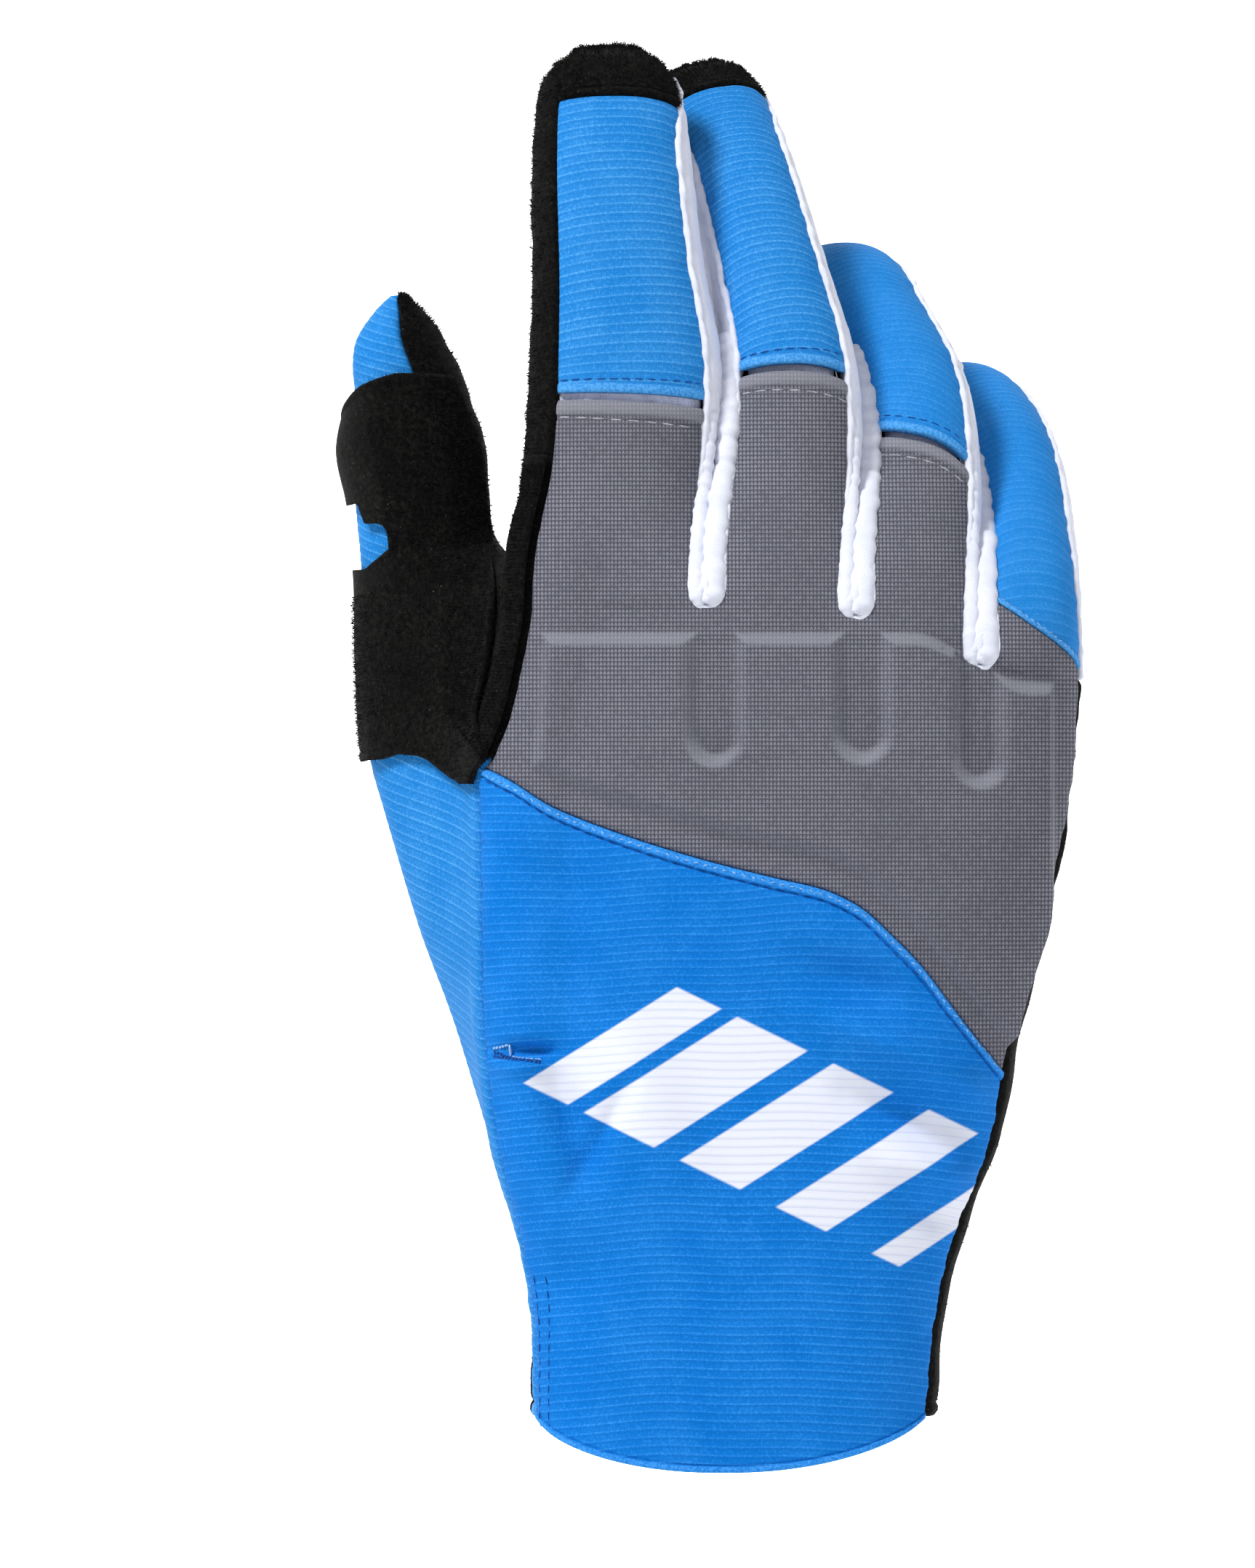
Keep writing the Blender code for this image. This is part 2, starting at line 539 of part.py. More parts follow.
def closing(along, start):
    """0 until a finger's seams start to close round its tip, and 1 at the tip."""
    run = TIP_JOIN - start
    return 0.8 * ease((along - start) / run) + 0.2 * ease((along - TIP_JOIN) / (0.6 * (1 - TIP_JOIN)))


def seam_degrees(degrees, along):
    """A finger's seam angle, closing to the side of the finger at its tip. A palm-side fold stays open."""
    if degrees == INDEX_NECK_SEAMS[0]:
        return degrees + 0 * along
    turns = 360 * math.floor(degrees / 360)
    side = 91.0 if degrees - turns < 180 else 269.0
    return mix(degrees, side + turns, closing(along, 0.80))


def fork_rounding(height):
    """0 at the bottom of a fork, 1 above its round end."""
    inside = np.clip(1 - np.clip(height, 0, None) / FORK_ROUNDING, 0, 1)
    return np.sqrt(1 - inside**2)


def finger_grid(name, base, rows, seams, across, shift):
    """Points of a finger between two seams.

    base holds a point for each column where the finger leaves the palm, rows the shares along the finger,
    seams the two seam angles, across each column's share between them, and shift each column's way across
    at a fork.
    """
    rows = np.asarray(rows, float)
    if rows.ndim == 1:
        rows = rows[:, None] + np.zeros(len(across))
    height = rows * LENGTHS[name]
    along = rows + (base[:, 2] - BASES[name][2]) / LENGTHS[name] * (1 - rows)
    start, end = (seam_degrees(seam, along) for seam in seams)
    tube = tube_point(name, along, mix(start, end, across))
    lifted = np.repeat(base[None], len(rows), 0)
    lifted[..., 0] += shift * FORK_HALF_WIDTH * fork_rounding(height)
    lifted[..., 2] += height
    return mix(lifted, tube, ease(height / BLEND_HEIGHT)[..., None])


def finger_back(name, rows, across):
    """The back of a finger; across runs from its left to its right seam."""
    number = FINGERS.index(name)
    across = np.asarray(across, float)
    share = mix(BACK_FORKS[number], BACK_FORKS[number + 1], across)
    shift = (number > 0) * (1 - across) - (number < 3) * across
    base = palm_point("back", share, back_top(share))
    left, right = BACK_SEAMS[name]
    return finger_grid(name, base, rows, (left, right), across, shift)


def fork_line(number, across):
    """The bottom of the fork after a finger, from the back to the palm."""
    across = np.asarray(across, float)
    back = palm_point("back", BACK_FORKS[number + 1], back_top(BACK_FORKS[number + 1]))
    share = PALM_FORKS[3 - number]
    front = palm_point("palm", share, palm_top(share))
    line = mix(back, front, across[:, None])
    line[:, 2] += WEB_RISE * np.sin(math.pi * across)
    return line


def fork_opening(across):
    """How far a finger's side stands back at a fork: fully at its back seam, hardly further in."""
    return 1 - 0.9 * ease(np.asarray(across) / 0.6)


def finger_right_side(name, rows, across):
    """A finger's right side; across runs from its back seam to its palm seam."""
    number = FINGERS.index(name)
    across = np.asarray(across, float)
    if number < 3:
        base = fork_line(number, across)
    else:
        base = palm_point("right", across, FORK_UP["pinky"] * PALM_LENGTH)
    seams = (BACK_SEAMS[name][1], FRONT_SEAM)
    return finger_grid(name, base, rows, seams, across, -fork_opening(across) * (number < 3))


def finger_left_side(name, rows, across):
    """A finger's left side; across runs from its palm seam to its back seam."""
    across = np.asarray(across, float)
    base = fork_line(FINGERS.index(name) - 1, 1 - across)
    seams = (360 - FRONT_SEAM, 360 + BACK_SEAMS[name][0])
    return finger_grid(name, base, rows, seams, across, fork_opening(1 - across))


def neck_line(across):
    """The bottom of the thumb's fork, from the palm side to the back."""
    across = np.asarray(across, float)
    front, back = palm_point("palm", 1.0, PALM_LENGTH), palm_point("edge", 0.0, PALM_LENGTH)
    return mix(front, back, across[:, None])


def finger_front(name, rows, across):
    """A finger's palm side; across runs from its right to its left seam."""
    number = FINGERS.index(name)
    across = np.asarray(across, float)
    share = mix(PALM_FORKS[3 - number], PALM_FORKS[4 - number], across)
    base = palm_point("palm", share, palm_top(share))
    shift = ((number > 0) * across - (number < 3) * (1 - across)) * fork_opening(1.0)
    end = INDEX_NECK_SEAMS[0] if number == 0 else 360 - FRONT_SEAM
    return finger_grid(name, base, rows, (FRONT_SEAM, end), across, shift)


def index_outer_side(rows, across):
    """The index finger's outer side: first along the thumb's fork, then along the edge strip."""
    across = np.asarray(across, float)
    first, second = INDEX_NECK_SEAMS
    outer = 360 + BACK_SEAMS["index"][0]
    edge = palm_point("edge", np.clip(2 * across - 1, 0, 1), PALM_LENGTH)
    base = np.where((across <= 0.5)[:, None], neck_line(np.clip(2 * across, 0, 1)), edge)
    rows = np.asarray(rows, float)[:, None] + np.zeros(len(across))
    height = rows * INDEX_LENGTH
    closed = seam_degrees(outer, rows)
    middle = second + (closed - outer) * (second - first) / (outer - first)
    tube_degrees = np.where(across <= 0.5, mix(first, middle, 2 * across), mix(middle, closed, 2 * across - 1))
    lifted = np.repeat(base[None], len(rows), 0)
    lifted[..., 2] += height
    return mix(lifted, tube_point("index", rows, tube_degrees), ease(height / BLEND_HEIGHT)[..., None])


THUMB_TOP = THUMB_HEEL_UP * PALM_LENGTH + THUMB_LENGTH
THUMB_PARTS = ("thumb_back", "web", "neck", "thumb_front")


def thumb_skin(part, across, z):
    """A point of the thumb's skin below or above its fork, within one of THUMB_PARTS."""
    across, z = np.broadcast_arrays(np.asarray(across, float), np.asarray(z, float))
    low = np.minimum(z, PALM_LENGTH)
    if part == "neck":
        corner = palm_point("edge", 0.0, PALM_LENGTH)
        base = mix(corner, palm_point("palm", 1.0, PALM_LENGTH), across[..., None])
    else:
        base = palm_point(part, across, low)
    front_seam, back_seam = THUMB_BACK_SEAMS
    first, last = {
        "thumb_back": (back_seam, front_seam), "web": (front_seam, THUMB_NECK_SEAMS[0]),
        "neck": THUMB_NECK_SEAMS, "thumb_front": (THUMB_NECK_SEAMS[1], 360 + back_seam),
    }[part]
    degrees = mix(first, last, across)
    # The seams close to the front and the back of the tip
    shut = ease((z - PALM_LENGTH) / (THUMB_TOP - PALM_LENGTH) * 1.6 - 0.6)
    if part == "thumb_back":
        degrees = mix(degrees, mix(-180.0, 0.0, across), shut)
    else:
        degrees = mix(degrees, (degrees - front_seam) / (360 + back_seam - front_seam) * 180, shut)
    section = thumb_section(z)
    x, y = oval_point(section, degrees, TUBE_POWER)
    tube = np.stack([x, y, z + 0 * x], -1)
    base = base + np.stack([0 * z, 0 * z, z - base[..., 2]], -1)
    return mix(base, tube, ease((z - PALM_LENGTH) / THUMB_BLEND_HEIGHT)[..., None])


def rows_between(start, end, height, power=1.0):
    """Row shares from start to end, about ROW_HEIGHT apart for a stretch of this height."""
    count = max(1, round(height / ROW_HEIGHT))
    return [mix(start, end, (k / count) ** power) for k in range(count + 1)]


def finger_rows(name, start, end):
    """A finger's rows from start to end, with rows wherever a seam of any of its panels ends."""
    stops = [0.0, LOBE_TOP[name], LOBE_TOP[name] + VENT_HEIGHT / LENGTHS[name]]
    stops += [CAP_START.get(name, 0.9), TIP_JOIN, 1.0]
    rows = []
    for low, high in zip(stops, stops[1:]):
        power = 1.3 if low == 0 else 1.0
        rows += rows_between(low, high, (high - low) * LENGTHS[name], power)[:-1]
    rows.append(1.0)
    return np.array([row for row in rows if start - 1e-9 <= row <= end + 1e-9])


def pinky_right_rows(rows):
    """The little finger's rows at its right side, where its grey lobe runs out."""
    top = LOBE_TOP["pinky"]
    low = rows * PINKY_LOBE_RIGHT
    high = rows - top * (1 - PINKY_LOBE_RIGHT) * (1 - ease((rows - top) / 0.5))
    return np.where(rows <= top, low, high)


def slant_height(share):
    """Height of the slanting seam where the back strip has this share."""
    z = np.full(np.shape(share), 0.7 * PALM_LENGTH)
    for _ in range(14):
        x = palm_point("back", share, z)[..., 0]
        z = mix(z, slant_row("z", x / KNUCKLE_WIDTH) * PALM_LENGTH, 0.6)
    return z


def hem_height(share):
    """The hem hangs lower at the middle of the back."""
    return -CUFF_DIP * (1 - np.abs(2 * np.asarray(share) - 1) ** 2.2)


def fold_lift(points, share):
    """How far the cuff panel's folds stand out; they fade out at its side seams."""
    lift = np.zeros(points.shape[:-1])
    flat = points[..., [0, 2]]
    for row in FOLD_ROWS:
        fold = dict(zip(FOLD_COLUMNS, row))
        start = np.array([fold["x0"] * KNUCKLE_WIDTH, fold["z0"] * PALM_LENGTH])
        end = np.array([fold["x1"] * KNUCKLE_WIDTH, fold["z1"] * PALM_LENGTH])
        way = end - start
        along = np.clip((flat - start) @ way / (way @ way), 0, 1)
        distance = np.linalg.norm(flat - start - along[..., None] * way, axis=-1)
        fade = np.sin(math.pi * mix(0.15, 0.85, along))
        lift += fold["rise"] * WALL * fade * np.exp(-((distance / (fold["half_width"] * PALM_DEPTH)) ** 2))
    return lift * ease(8 * share) * ease(8 * (1 - share))


def pad_lift(points):
    """How far the moulded pads stand out of the knuckle panel, as a share of PAD_RISE."""
    x, z = points[..., 0] / KNUCKLE_WIDTH, points[..., 2] / PALM_LENGTH
    top = (PAD_TOP - 0.06 * ease((x - 0.30) / 0.2) - z) * PALM_LENGTH
    left = (x - PAD_LEFT + 0.10 * (1 - z)) * KNUCKLE_WIDTH
    right = (PAD_RIGHT - x) * KNUCKLE_WIDTH
    below = points[..., 2] - slant_row("z", x) * PALM_LENGTH - PAD_BOTTOM_MARGIN
    lift = np.minimum.reduce([ease(edge / PAD_BEVEL) for edge in (top, left, right, below)])
    for across, bottom, half_width in GROOVES:
        dx = (x - across) * KNUCKLE_WIDTH
        dz = np.minimum(0, points[..., 2] - bottom * PALM_LENGTH)
        lift = np.minimum(lift, ease((np.hypot(dx, dz) - half_width * PALM_DEPTH * 0.5) / PAD_BEVEL))
    return lift


class Panel:
    """One cloth panel: quads of the glove's skin, with how far outside the skin its outer face lies."""

    def __init__(self, name, grids, raised=0.0, wall=WALL):
        self.name, self.raised, self.wall = name, raised, wall
        points, faces = [], []
        for grid in grids:
            rows, columns = grid.shape[:2]
            first = len(points)
            points += list(grid.reshape(-1, 3))
            at = first + np.arange(rows * columns).reshape(rows, columns)
            corners = (at[:-1, :-1], at[:-1, 1:], at[1:, 1:], at[1:, :-1])
            faces += np.stack([corner.ravel() for corner in corners], 1).tolist()
        points = np.array(points)
        _, first, same = np.unique(np.round(points / (0.02 * MM)), axis=0, return_index=True, return_inverse=True)
        self.points = points[first]
        self.faces = []
        for face in faces:
            kept = list(dict.fromkeys(same.ravel()[face].tolist()))
            if len(kept) > 2:
                self.faces.append(kept)
        self.centres = np.array([self.points[face].mean(0) for face in self.faces])
        normals = []
        for face in self.faces:
            corners = self.points[face]
            normals.append(np.cross(corners[2] - corners[0], corners[-1] - corners[1]))
        self.areas = np.linalg.norm(normals, axis=1)
        self.normals = np.array(normals) / np.maximum(self.areas, 1e-15)[:, None]

    def own_normals(self):
        """Each point's normal from the panel's own faces."""
        normals = np.zeros_like(self.points)
        for face, normal, area in zip(self.faces, self.normals, self.areas):
            normals[face] += normal * area
        return normals / np.maximum(np.linalg.norm(normals, axis=1), 1e-15)[:, None]

    def border(self):
        """The border's edges in the faces' turning sense, each with its face's number."""
        seen = {}
        for number, face in enumerate(self.faces):
            for a, b in zip(face, face[1:] + face[:1]):
                seen[(a, b)] = number
        return [(a, b, number) for (a, b), number in seen.items() if (b, a) not in seen]

    def trimmed(self):
        """The points with the border moved in by half the seam gap."""
        ways = {}
        for a, b, number in self.border():
            along = self.points[b] - self.points[a]
            way = np.cross(self.normals[number], along / np.linalg.norm(along))
            for point in (a, b):
                ways.setdefault(point, []).append(way)
        points = self.points.copy()
        for point, found in ways.items():
            first, last = found[0], found[-1]
            mitre = (first + last) / max(1 + first @ last, 0.12)
            points[point] += mitre * SEAM_GAP / 2
        return points

    def wall_normals(self, seams):
        """Each point's normal; at a seam two panels share one, so that their walls end against each other."""
        own = self.own_normals()
        normals = own.copy()
        for point in {point for a, b, _ in self.border() for point in (a, b)}:
            found = [
                (gap, seams.normals[index])
                for _, index, gap in seams.tree.find_n(self.points[point], SEAM_NEIGHBOURS)
                if seams.owners[index] != self.name and gap < SEAM_REACH
            ]
            for gap, normal in found:
                if gap < found[0][0] + 0.3 * MM and normal @ own[point] > -0.6:
                    normals[point] += normal
        return normals / np.linalg.norm(normals, axis=1)[:, None]

    def build(self, seams):
        """The panel as a closed object with its wall."""
        normals = self.own_normals() if self.raised else self.wall_normals(seams)
        outer = self.trimmed() + normals * self.raised
        inner = outer - normals * self.wall
        body = bmesh.new()
        out_verts = [body.verts.new(point) for point in outer]
        in_verts = [body.verts.new(point) for point in inner]
        for face in self.faces:
            body.faces.new([out_verts[k] for k in face])
            body.faces.new([in_verts[k] for k in reversed(face)])
        for a, b, _ in self.border():
            body.faces.new((out_verts[b], out_verts[a], in_verts[a], in_verts[b]))
        bmesh.ops.triangulate(body, faces=body.faces)
        mesh = bpy.data.meshes.new(self.name)
        body.to_mesh(mesh)
        body.free()
        part = bpy.data.objects.new(self.name, mesh)
        bpy.context.collection.objects.link(part)
        return part


class Seams:
    """The border points of all panels of the skin, with their normals and their panels' names."""

    def __init__(self, panels):
        self.normals, self.owners, points = [], [], []
        for panel in panels:
            own = panel.own_normals()
            for point in sorted({point for a, b, _ in panel.border() for point in (a, b)}):
                points.append(panel.points[point])
                self.normals.append(own[point])
                self.owners.append(panel.name)
        self.tree = kdtree.KDTree(len(points))
        for number, point in enumerate(points):
            self.tree.insert(point, number)
        self.tree.balance()


def steps(count, start=0.0, end=1.0):
    return np.linspace(start, end, count + 1)


def back_panels():
    """Cuff, knuckle panel, finger backs and the caps over the tips."""
    columns = np.concatenate([steps(BACK_COLUMNS, a, b)[:-1] for a, b in zip(BACK_FORKS, BACK_FORKS[1:])] + [[1.0]])

    def field(across, low, high, row_height):
        count = round(float(np.mean(high - low)) / row_height)
        return np.array([palm_point("back", across, mix(low, high, k / count)) for k in range(count + 1)])

    wide = steps(CUFF_COLUMNS)
    cuff = field(wide, hem_height(wide), slant_height(wide), ROW_HEIGHT)
    cuff[..., 1] -= fold_lift(cuff, wide[None, :])
    knuckles = [field(columns, slant_height(columns), back_top(columns), PAD_ROW_HEIGHT)]
    panels = [Panel("cuff_back", [cuff])]
    across = steps(BACK_COLUMNS)
    for name in FINGERS:
        lobe = finger_rows(name, 0, LOBE_TOP[name])
        vent = LOBE_TOP[name] + (VENT_HEIGHT / LENGTHS[name] if name in VENTED else 0)
        cap = CAP_START.get(name, 1.0)
        rows = np.unique(np.concatenate([[vent], finger_rows(name, vent, cap)]))
        if name == "pinky":
            lobe, rows = (mix(part[:, None], pinky_right_rows(part)[:, None], across) for part in (lobe, rows))
        knuckles.append(finger_back(name, lobe, across))
        panels.append(Panel(name + "_back", [finger_back(name, rows, across)]))
        if name in CAP_START:
            panels.append(Panel(name + "_tip_cap", [finger_back(name, finger_rows(name, cap, 1), across)]))
        if name in VENTED:
            reach = VENT_OVERLAP / LENGTHS[name]
            strip = np.linspace(LOBE_TOP[name] - reach, vent + reach, 5)
            grid = finger_back(name, strip, steps(BACK_COLUMNS, 0.06, 0.94))
            panels.append(Panel(name + "_flex_gusset", [grid], -WALL - LAYER_GAP, GUSSET_WALL))
    for grid in knuckles:
        grid[..., 1] -= PAD_RISE * pad_lift(grid)
    panels.insert(1, Panel("knuckle_panel", knuckles))
    return panels


def side_panels():
    """The strips between the fingers and the one on the little finger's outer side."""
    across = steps(SIDE_COLUMNS)
    panels = []
    for name, after in zip(FINGERS, FINGERS[1:]):
        down = finger_right_side(name, finger_rows(name, 0, TIP_JOIN), across)[::-1]
        up = finger_left_side(after, finger_rows(after, 0, TIP_JOIN), across)[:, ::-1]
        strip = np.concatenate([down, up[1:]])[:, ::-1]
        panels.append(Panel(f"fourchette_{name}_{after}", [strip]))
    rows = pinky_right_rows(finger_rows("pinky", 0, TIP_JOIN))
    panels.append(Panel("pinky_side_strip", [finger_right_side("pinky", rows, across)]))
    return panels


def front_panels():
    """The palm and the palm side of each finger."""
    share = np.concatenate([steps(FRONT_COLUMNS, a, b)[:-1] for a, b in zip(PALM_FORKS, PALM_FORKS[1:])] + [[1.0]])
    side = steps(SIDE_COLUMNS)
    grid = []
    for k in range(PALM_ROW_COUNT + 1):
        right = palm_point("right", side, FORK_UP["pinky"] * PALM_LENGTH * k / PALM_ROW_COUNT)
        left = palm_point("palm", share, palm_top(share) * k / PALM_ROW_COUNT)
        grid.append(np.concatenate([right[:-1], left]))
    panels = [Panel("palm", [np.array(grid)])]
    for name in FINGERS:
        rows, across = finger_rows(name, 0, 1), steps(FRONT_COLUMNS)
        if name == "pinky":
            rows = mix(pinky_right_rows(rows)[:, None], rows[:, None], across)
        grids = [finger_front(name, rows, across)]
        if name == "index":
            grids.append(index_outer_side(rows, steps(2 * SIDE_COLUMNS)))
        panels.append(Panel(name + "_front", grids))
    return panels


def thumb_levels():
    """Heights of the thumb's rows below and above its fork, with rows at the patch's notch."""
    below = PALM_LENGTH * np.arange(PALM_ROW_COUNT + 1) / PALM_ROW_COUNT
    low, high = (up * PALM_LENGTH for up in PATCH_NOTCH_UP)
    stops = (PALM_LENGTH, low, high, THUMB_TOP)
    above = [rows_between(a, b, b - a)[:-1] for a, b in zip(stops, stops[1:3])]
    count = round((THUMB_TOP - high) / ROW_HEIGHT)
    above.append(mix(high, THUMB_TOP, np.sin(math.pi / 2 * np.arange(count + 1) / count) ** 1.1))
    return below, np.concatenate(above)


def thumb_panels():
    """The thumb's back and front, the patch over it and the strip along the edge of the hand."""
    side, wide = steps(SIDE_COLUMNS), steps(THUMB_COLUMN_COUNT)
    palm_z, free_z = thumb_levels()

    def grid(part, across, heights):
        return thumb_skin(part, across[None, :], np.asarray(heights)[:, None])

    front_low = THUMB_FRONT_END_UP * PALM_LENGTH + POINT_WIDTH
    web_low = WEB_END_UP * PALM_LENGTH + 0.5 * POINT_WIDTH
    back_z = np.concatenate([palm_z, free_z[1:]])
    front_z = np.concatenate([[front_low], palm_z[palm_z > front_low + MM], free_z[1:]])
    web_z = np.concatenate([[web_low], palm_z[palm_z > web_low + MM]])
    edge = np.array([palm_point("edge", side, z) for z in web_z])
    panels = [Panel("thumb_back", [grid("thumb_back", wide, back_z)])]
    panels.append(Panel("thumb_front", [
        grid("thumb_front", side, front_z), grid("neck", side, free_z),
        grid("web", side, np.concatenate([web_z, free_z[1:]])), edge,
    ]))
    panels.append(Panel("thumb_patch", patch_grids(), LAYER_GAP + PATCH_WALL, PATCH_WALL))
    panels.append(Panel("side_binding", [binding_grid()], LAYER_GAP + PATCH_WALL, PATCH_WALL))
    return panels


def patch_point(around, z):
    """A point of the skin under the thumb patch; around counts the blue back as 1 and the web as 1 more."""
    around, z = np.broadcast_arrays(np.asarray(around, float), np.asarray(z, float))
    on_back = thumb_skin("thumb_back", np.clip(around, 0, 1), z)
    on_web = thumb_skin("web", np.clip(around - 1, 0, 1), z)
    return np.where((around <= 1)[..., None], on_back, on_web)


def patch_grids():
    """The thumb patch: a field with a square notch in its outer edge. It has the thumb's own rows."""
    left, right = PATCH_AROUND
    back = steps(THUMB_COLUMN_COUNT)
    outer = np.array([left, *back[(back > left + 0.01) & (back < PATCH_NOTCH_AROUND - 0.01)], PATCH_NOTCH_AROUND])
    inner = np.array([PATCH_NOTCH_AROUND, *back[back > PATCH_NOTCH_AROUND + 0.01], 1.5, right])
    margin = 0.2 * ROW_HEIGHT
    lowest, highest = max(PATCH_BOTTOM_UP) * PALM_LENGTH + margin, min(PATCH_TOP_UP) * PALM_LENGTH - margin
    levels = np.unique(np.concatenate(thumb_levels()))
    levels = levels[(levels > lowest) & (levels < highest)]
    low, high = (up * PALM_LENGTH for up in PATCH_NOTCH_UP)

    def field(around, kept, bottom, top):
        rows = [np.full(len(around), z) for z in kept]
        if bottom:
            rows.insert(0, np.interp(around, PATCH_EDGE_AROUND, PATCH_BOTTOM_UP) * PALM_LENGTH)
        if top:
            rows.append(np.interp(around, PATCH_EDGE_AROUND, PATCH_TOP_UP) * PALM_LENGTH)
        return patch_point(around[None, :], np.array(rows))

    return [
        field(inner, levels, True, True),
        field(outer, levels[levels <= low + 1e-9], True, False),
        field(outer, levels[levels >= high - 1e-9], False, True),
    ]


def binding_grid():
    """The strip along the edge of the hand, up on to the index finger's outer side."""
    rows = []
    low, high = BINDING_UP
    for z in np.linspace(low, high, 12) * PALM_LENGTH:
        if z <= PALM_LENGTH:
            line = palm_point("edge", np.linspace(0, 1, 41), z)
        else:
            line = index_outer_side([(z - PALM_LENGTH) / INDEX_LENGTH], np.linspace(0.5, 1, 41))[0]
        walk = np.concatenate([[0], np.cumsum(np.linalg.norm(np.diff(line, axis=0), axis=1))])
        start = max(walk[-1] - BINDING_WIDTH, 0.1 * walk[-1])
        at = np.linspace(start, walk[-1] - 0.2 * MM, 3)
        rows.append(np.stack([np.interp(at, walk, line[:, k]) for k in range(3)], 1))
    return np.array(rows)


def main():
    for thing in list(bpy.data.objects):
        bpy.data.objects.remove(thing, do_unlink=True)
    materials = {}
    for name, (colour, roughness) in MATERIALS.items():
        material = bpy.data.materials.new(name)
        material.use_nodes = True
        shader = material.node_tree.nodes["Principled BSDF"]
        shader.inputs["Base Color"].default_value = (*colour, 1.0)
        shader.inputs["Roughness"].default_value = roughness
        materials[name] = material
    panels = back_panels() + side_panels() + front_panels() + thumb_panels()
    seams = Seams([panel for panel in panels if panel.raised == 0])
    for panel in panels:
        part = panel.build(seams)
        finish = next(key for key in FINISH if panel.name in FINISH[key])
        part.data.materials.append(materials[finish])


main()
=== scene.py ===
"""The looks of a right-hand motocross glove, filled as if worn: cuff down, fingers up, back of the hand to -Y.

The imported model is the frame. Every cloth panel here is cut from the same skin round an invisible hand as its
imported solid, along the same seams, and stands for that solid. It is laid much finer, so that ribs, hems, moulded
pads, puckers and rolled edges are real relief. X points to the little finger's side, Y to the palm and Z up.
"""

import logging
import math
import random
from dataclasses import dataclass, field
from enum import Enum

import bmesh
import bpy
import numpy as np
from mathutils import Matrix, Vector
from mathutils.bvhtree import BVHTree


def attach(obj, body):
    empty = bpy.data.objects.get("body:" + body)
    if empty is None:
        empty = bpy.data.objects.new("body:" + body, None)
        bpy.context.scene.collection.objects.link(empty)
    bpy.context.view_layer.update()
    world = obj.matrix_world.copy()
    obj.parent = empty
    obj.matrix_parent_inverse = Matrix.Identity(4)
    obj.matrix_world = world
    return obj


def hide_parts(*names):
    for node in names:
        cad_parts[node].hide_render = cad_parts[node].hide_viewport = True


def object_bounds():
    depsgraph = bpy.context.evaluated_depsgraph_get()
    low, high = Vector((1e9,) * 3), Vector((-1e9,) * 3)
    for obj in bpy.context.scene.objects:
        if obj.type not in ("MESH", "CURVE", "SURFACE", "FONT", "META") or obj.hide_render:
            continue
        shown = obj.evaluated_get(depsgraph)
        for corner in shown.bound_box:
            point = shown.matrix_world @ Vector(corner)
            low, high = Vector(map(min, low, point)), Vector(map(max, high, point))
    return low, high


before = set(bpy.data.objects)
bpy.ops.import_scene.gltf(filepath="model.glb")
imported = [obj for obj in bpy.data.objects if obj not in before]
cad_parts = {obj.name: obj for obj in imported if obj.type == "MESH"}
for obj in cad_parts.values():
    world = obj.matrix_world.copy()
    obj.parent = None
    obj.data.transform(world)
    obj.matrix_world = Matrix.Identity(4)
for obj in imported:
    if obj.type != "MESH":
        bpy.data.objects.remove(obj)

Array = np.ndarray
LOG = logging.getLogger("glove")

CAD_LOW, CAD_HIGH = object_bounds()
TIP_ROWS = 7                                        # rows that round a finger's or the thumb's end off
DESIGN_HEIGHT = 233.296                             # millimetres from hem to fingertip in the design
MM = (CAD_HIGH.z - CAD_LOW.z) / DESIGN_HEIGHT       # metres for each millimetre of the design
BODY = "root"

FINGERS = ("index", "middle", "ring", "pinky")

# The palm's level sections: height as a share of the palm's length, left and right edge as shares of the
# knuckles' width, back and palm surface as shares of the palm's depth, and the seams of the back as shares of
# the half width
PALM_COLUMNS = ("up", "left", "right", "back", "front", "left_seam", "right_seam")
PALM_ROWS = (
    (-0.08, -0.350, 0.340, -0.555, 0.545, -0.985, 0.945),
    (0.09, -0.351, 0.357, -0.545, 0.540, -0.985, 0.955),
    (0.19, -0.368, 0.383, -0.535, 0.535, -0.985, 0.955),
    (0.34, -0.426, 0.457, -0.540, 0.530, -0.970, 0.965),
    (0.49, -0.455, 0.503, -0.545, 0.525, -0.965, 0.950),
    (0.62, -0.464, 0.546, -0.540, 0.515, -0.955, 0.975),
    (0.79, -0.466, 0.590, -0.520, 0.500, -0.960, 0.990),
    (0.82, -0.462, 0.594, -0.515, 0.495, -0.915, 0.990),
    (0.87, -0.445, 0.597, -0.500, 0.490, -0.895, 0.990),
    (0.95, -0.414, 0.602, -0.460, 0.470, -0.905, 0.990),
    (1.00, -0.397, 0.604, -0.430, 0.450, -0.915, 0.990),
    (1.20, -0.380, 0.590, -0.340, 0.370, -0.900, 0.990),
    (1.50, -0.370, 0.560, -0.300, 0.330, -0.900, 0.990),
)

